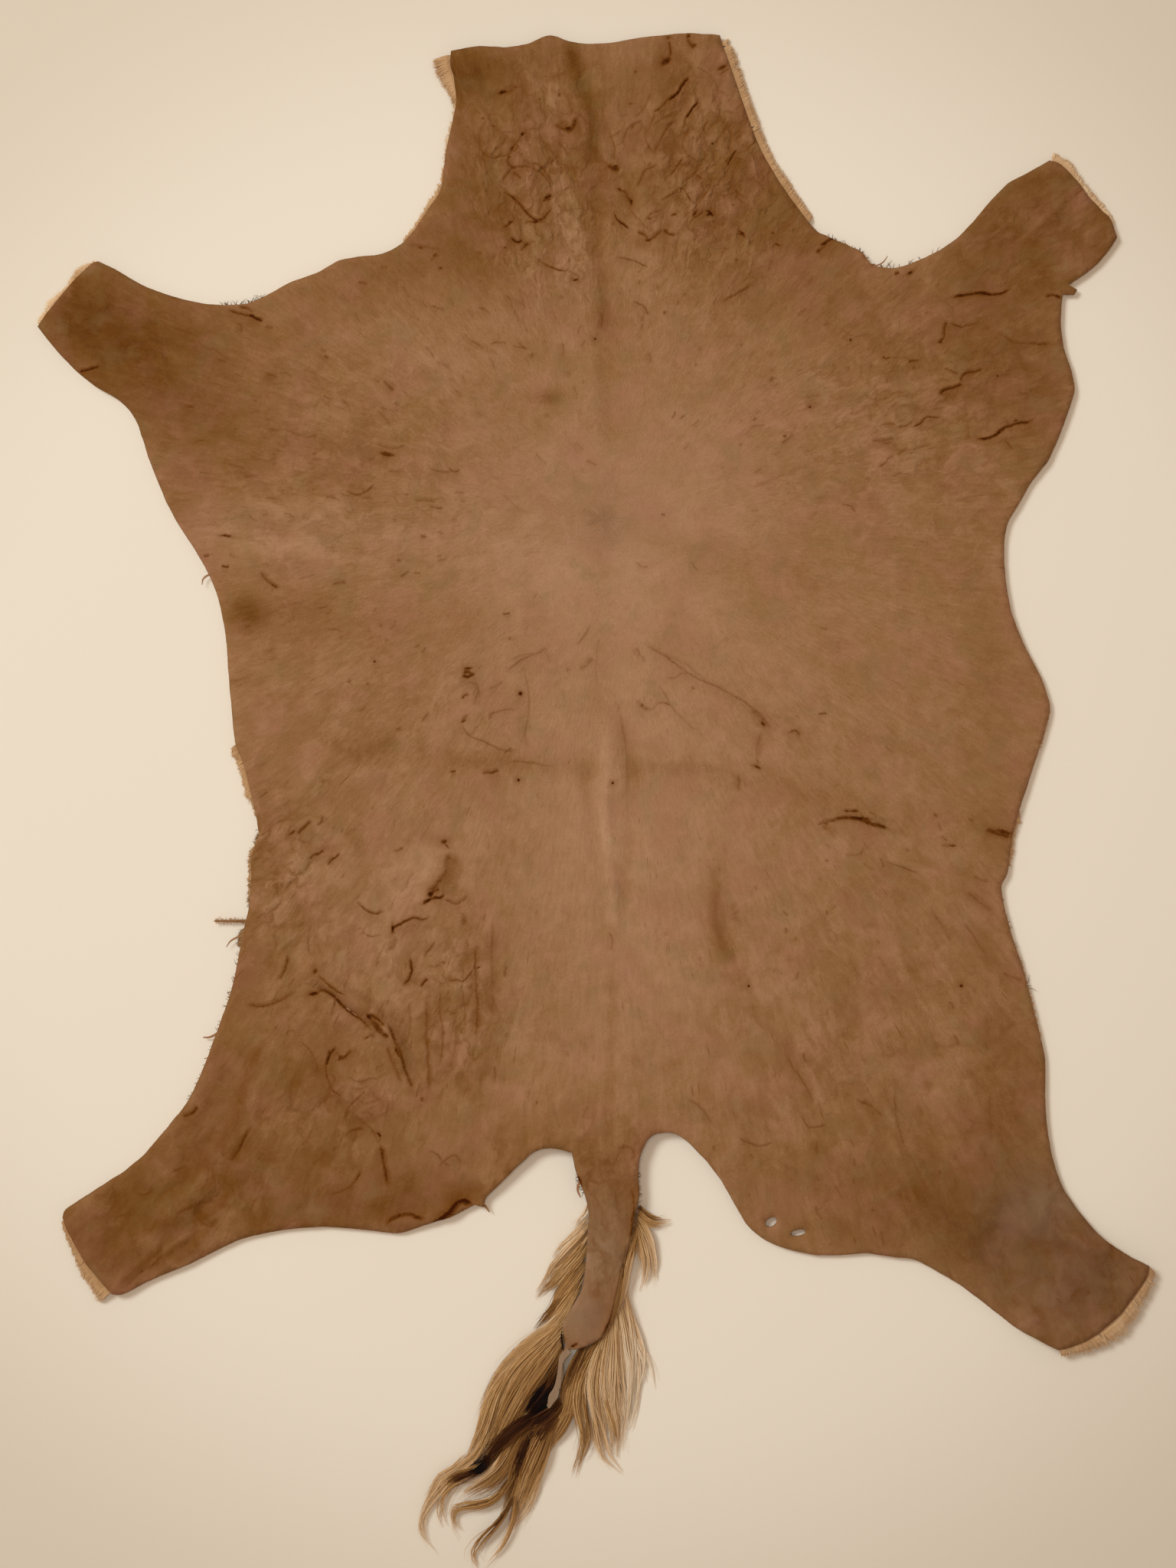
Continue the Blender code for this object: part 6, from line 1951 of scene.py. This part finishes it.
def coatMaterial():
    # pressed antelope pile: reddish back, tan sides, cream belly, with fine streaks where
    # the hairs lie together
    material, tree, shader = newMaterial("pressedAntelopePile")
    shade = addNode(tree, "ShaderNodeAttribute", attribute_name="shade").outputs["Fac"]
    place = addNode(tree, "ShaderNodeTexCoord").outputs["Object"]
    lay = addNode(tree, "ShaderNodeMapping", {"Vector": place})
    lay.inputs["Scale"].default_value = (900.0, 110.0, 400.0)     # 1.1 mm locks, 9 mm long
    hairs = addNode(tree, "ShaderNodeTexNoise", {"Vector": lay.outputs[0]},
                    {"Scale": 1.0, "Detail": 4.0, "Roughness": 0.6}).outputs["Fac"]
    shift = addNode(tree, "ShaderNodeMath", {0: hairs}, {1: 0.5}, operation="SUBTRACT").outputs[0]
    shift = addNode(tree, "ShaderNodeMath", {0: shift, 2: shade}, {1: 0.35},
                    operation="MULTIPLY_ADD").outputs[0]
    tree.links.new(toneRamp(tree, shift, coatSheet["tones"]), shader.inputs["Base Color"])
    bump = addNode(tree, "ShaderNodeBump", {"Height": hairs}, {"Strength": 1.0, "Distance": 0.0008})
    tree.links.new(bump.outputs[0], shader.inputs["Normal"])
    shader.inputs["Roughness"].default_value = coatSheet["roughness"]
    shader.inputs["Specular IOR Level"].default_value = coatSheet["specular"]
    return material


def makeCoat(material):
    outline = hideEdge[~onTail(hideEdge) & ~narrowPoints(hideEdge)][::3]
    outline = outline - outwardOf(outline) * coatSheet["inset"]
    holes = [hole[::2] + outwardOf(hole[::2]) for hole in holeEdges]
    points = evenPoints(coatSheet["grid"], coatSheet["jitter"], coatSheet["seed"])
    points = pointsInside(points, outline, coatSheet["edgeRoom"])
    points = points[~onTail(points - np.array((0.0, 6.0)))]
    flat, net, rims = netOver(points, [outline] + holes)
    top = skinUnderside(flat) - hideLie["gap"]
    locks = np.array([noise.noise(Vector((x / 5, y / 26, 3.0))) for x, y in flat])
    bottom = liftAt(flat) + 0.15 + (locks + 0.6).clip(0) * coatSheet["relief"] * 0.6
    vertices, faces = closeSheet(flat, top, net, rims, flat, bottom, net, rims, 0.7)
    across = np.abs(vertices[:, 0]) + 26 * waves(vertices[:, :2], 60, 5.0)
    shade = 0.85 - smoothStep((across - 90) / 210) * 0.42 - smoothStep((across - 300) / 90) * 0.36
    coat = newPiece("hairCoat", vertices, faces, material, {"shade": shade})
    print("coat:", len(faces), "faces")
    return coat


skinMaterial = tannedSkinMaterial()
skin = makeSkin(skinMaterial)
shreds = makeShreds(skinMaterial)
pileMaterial = hairMaterial("shortAntelopeHair", rimHair)
coat = makeCoat(coatMaterial())
rim = makeRimHair(pileMaterial)
pile, bristles = makeEdgePile(pileMaterial)
tailPieces = makeTailHair(hairMaterial("coarseTailHair", tailHair))

everyPiece = [skin, shreds, coat, rim, pile, bristles] + tailPieces
for piece in everyPiece:
    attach(piece, "root")
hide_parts("skin")
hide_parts("coat")
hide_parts("tail_hair")

# Floor, light and camera
studio = {
    # floor tones by metres from the middle, darker further out: painted fall-off of the light
    "floorFalloffTones": ((0.62, "#e9dcc9"), (1.00, "#d9cab5")),      # metres from the middle
    "floorSize": 60.0, "floorRoughness": 0.75, "floorSpecular": 0.2,
    "skyColour": "#ffe9d6", "skyStrength": 0.462,
    "keyPlace": (-7.0, 5.0, 8.4), "keySize": (3.7, 3.7), "keyPower": 930.0,
    "keyColour": "#ebf8ff",
    "poolPlace": (-0.30, 0.18, 3.1), "poolSize": 0.35, "poolPower": 70.0,
    "poolColour": "#fff9f2", "poolCone": 58.0,
    "cameraPlace": (-0.0205, 0.0, 2.8), "viewHeight": 1.6179,
}


def pointAt(thing, target):
    thing.rotation_mode = "QUATERNION"
    thing.rotation_quaternion = (Vector(target) - thing.location).to_track_quat("-Z", "Y")


def softLight(name, kind):
    lamp = bpy.data.lights.new(name, kind)
    if kind == "AREA":
        lamp.shape = "RECTANGLE"
        lamp.size, lamp.size_y = studio[name + "Size"]
    else:
        lamp.shadow_soft_size = studio[name + "Size"]
        lamp.spot_size = math.radians(studio[name + "Cone"])
        lamp.spot_blend = 1.0
    lamp.energy = studio[name + "Power"]
    lamp.color = linearColour(studio[name + "Colour"])[:3]
    light = bpy.data.objects.new(name + "Light", lamp)
    bpy.context.scene.collection.objects.link(light)
    x, y, height = studio[name + "Place"]
    light.location = (x, y, height)
    pointAt(light, (x, y, 0.0) if kind == "SPOT" else (0.0, 0.0, 0.0))


def makeStudio():
    # matt board in warm white, a little darker away from the middle: painted fall-off of the light
    material, tree, shader = newMaterial("palePaintedBoard")
    place = addNode(tree, "ShaderNodeTexCoord").outputs["Object"]
    reach = addNode(tree, "ShaderNodeVectorMath", {0: place}, operation="LENGTH").outputs["Value"]
    tree.links.new(toneRamp(tree, reach, studio["floorFalloffTones"], "EASE"), shader.inputs["Base Color"])
    shader.inputs["Roughness"].default_value = studio["floorRoughness"]
    shader.inputs["Specular IOR Level"].default_value = studio["floorSpecular"]
    bpy.ops.object.select_all(action="DESELECT")
    bpy.ops.mesh.primitive_plane_add(size=studio["floorSize"], location=(0, 0, -0.0004))
    floor = bpy.context.object
    floor.name = "floor"
    floor.data.materials.append(material)
    world = bpy.data.worlds.new("softStudio")
    world.use_nodes = True
    background = world.node_tree.nodes["Background"]
    background.inputs["Color"].default_value = linearColour(studio["skyColour"])
    background.inputs["Strength"].default_value = studio["skyStrength"]
    bpy.context.scene.world = world
    softLight("key", "AREA")
    softLight("pool", "SPOT")
    cameraData = bpy.data.cameras.new("camera")
    cameraData.sensor_width = 36.0
    cameraData.lens = 36.0 * studio["cameraPlace"][2] / studio["viewHeight"]
    camera = bpy.data.objects.new("camera", cameraData)
    bpy.context.scene.collection.objects.link(camera)
    camera.location = studio["cameraPlace"]
    camera.rotation_euler = (0.0, 0.0, 0.0)
    bpy.context.scene.camera = camera
    bpy.context.scene.view_settings.view_transform = "Standard"


makeStudio()
print("studio ready")
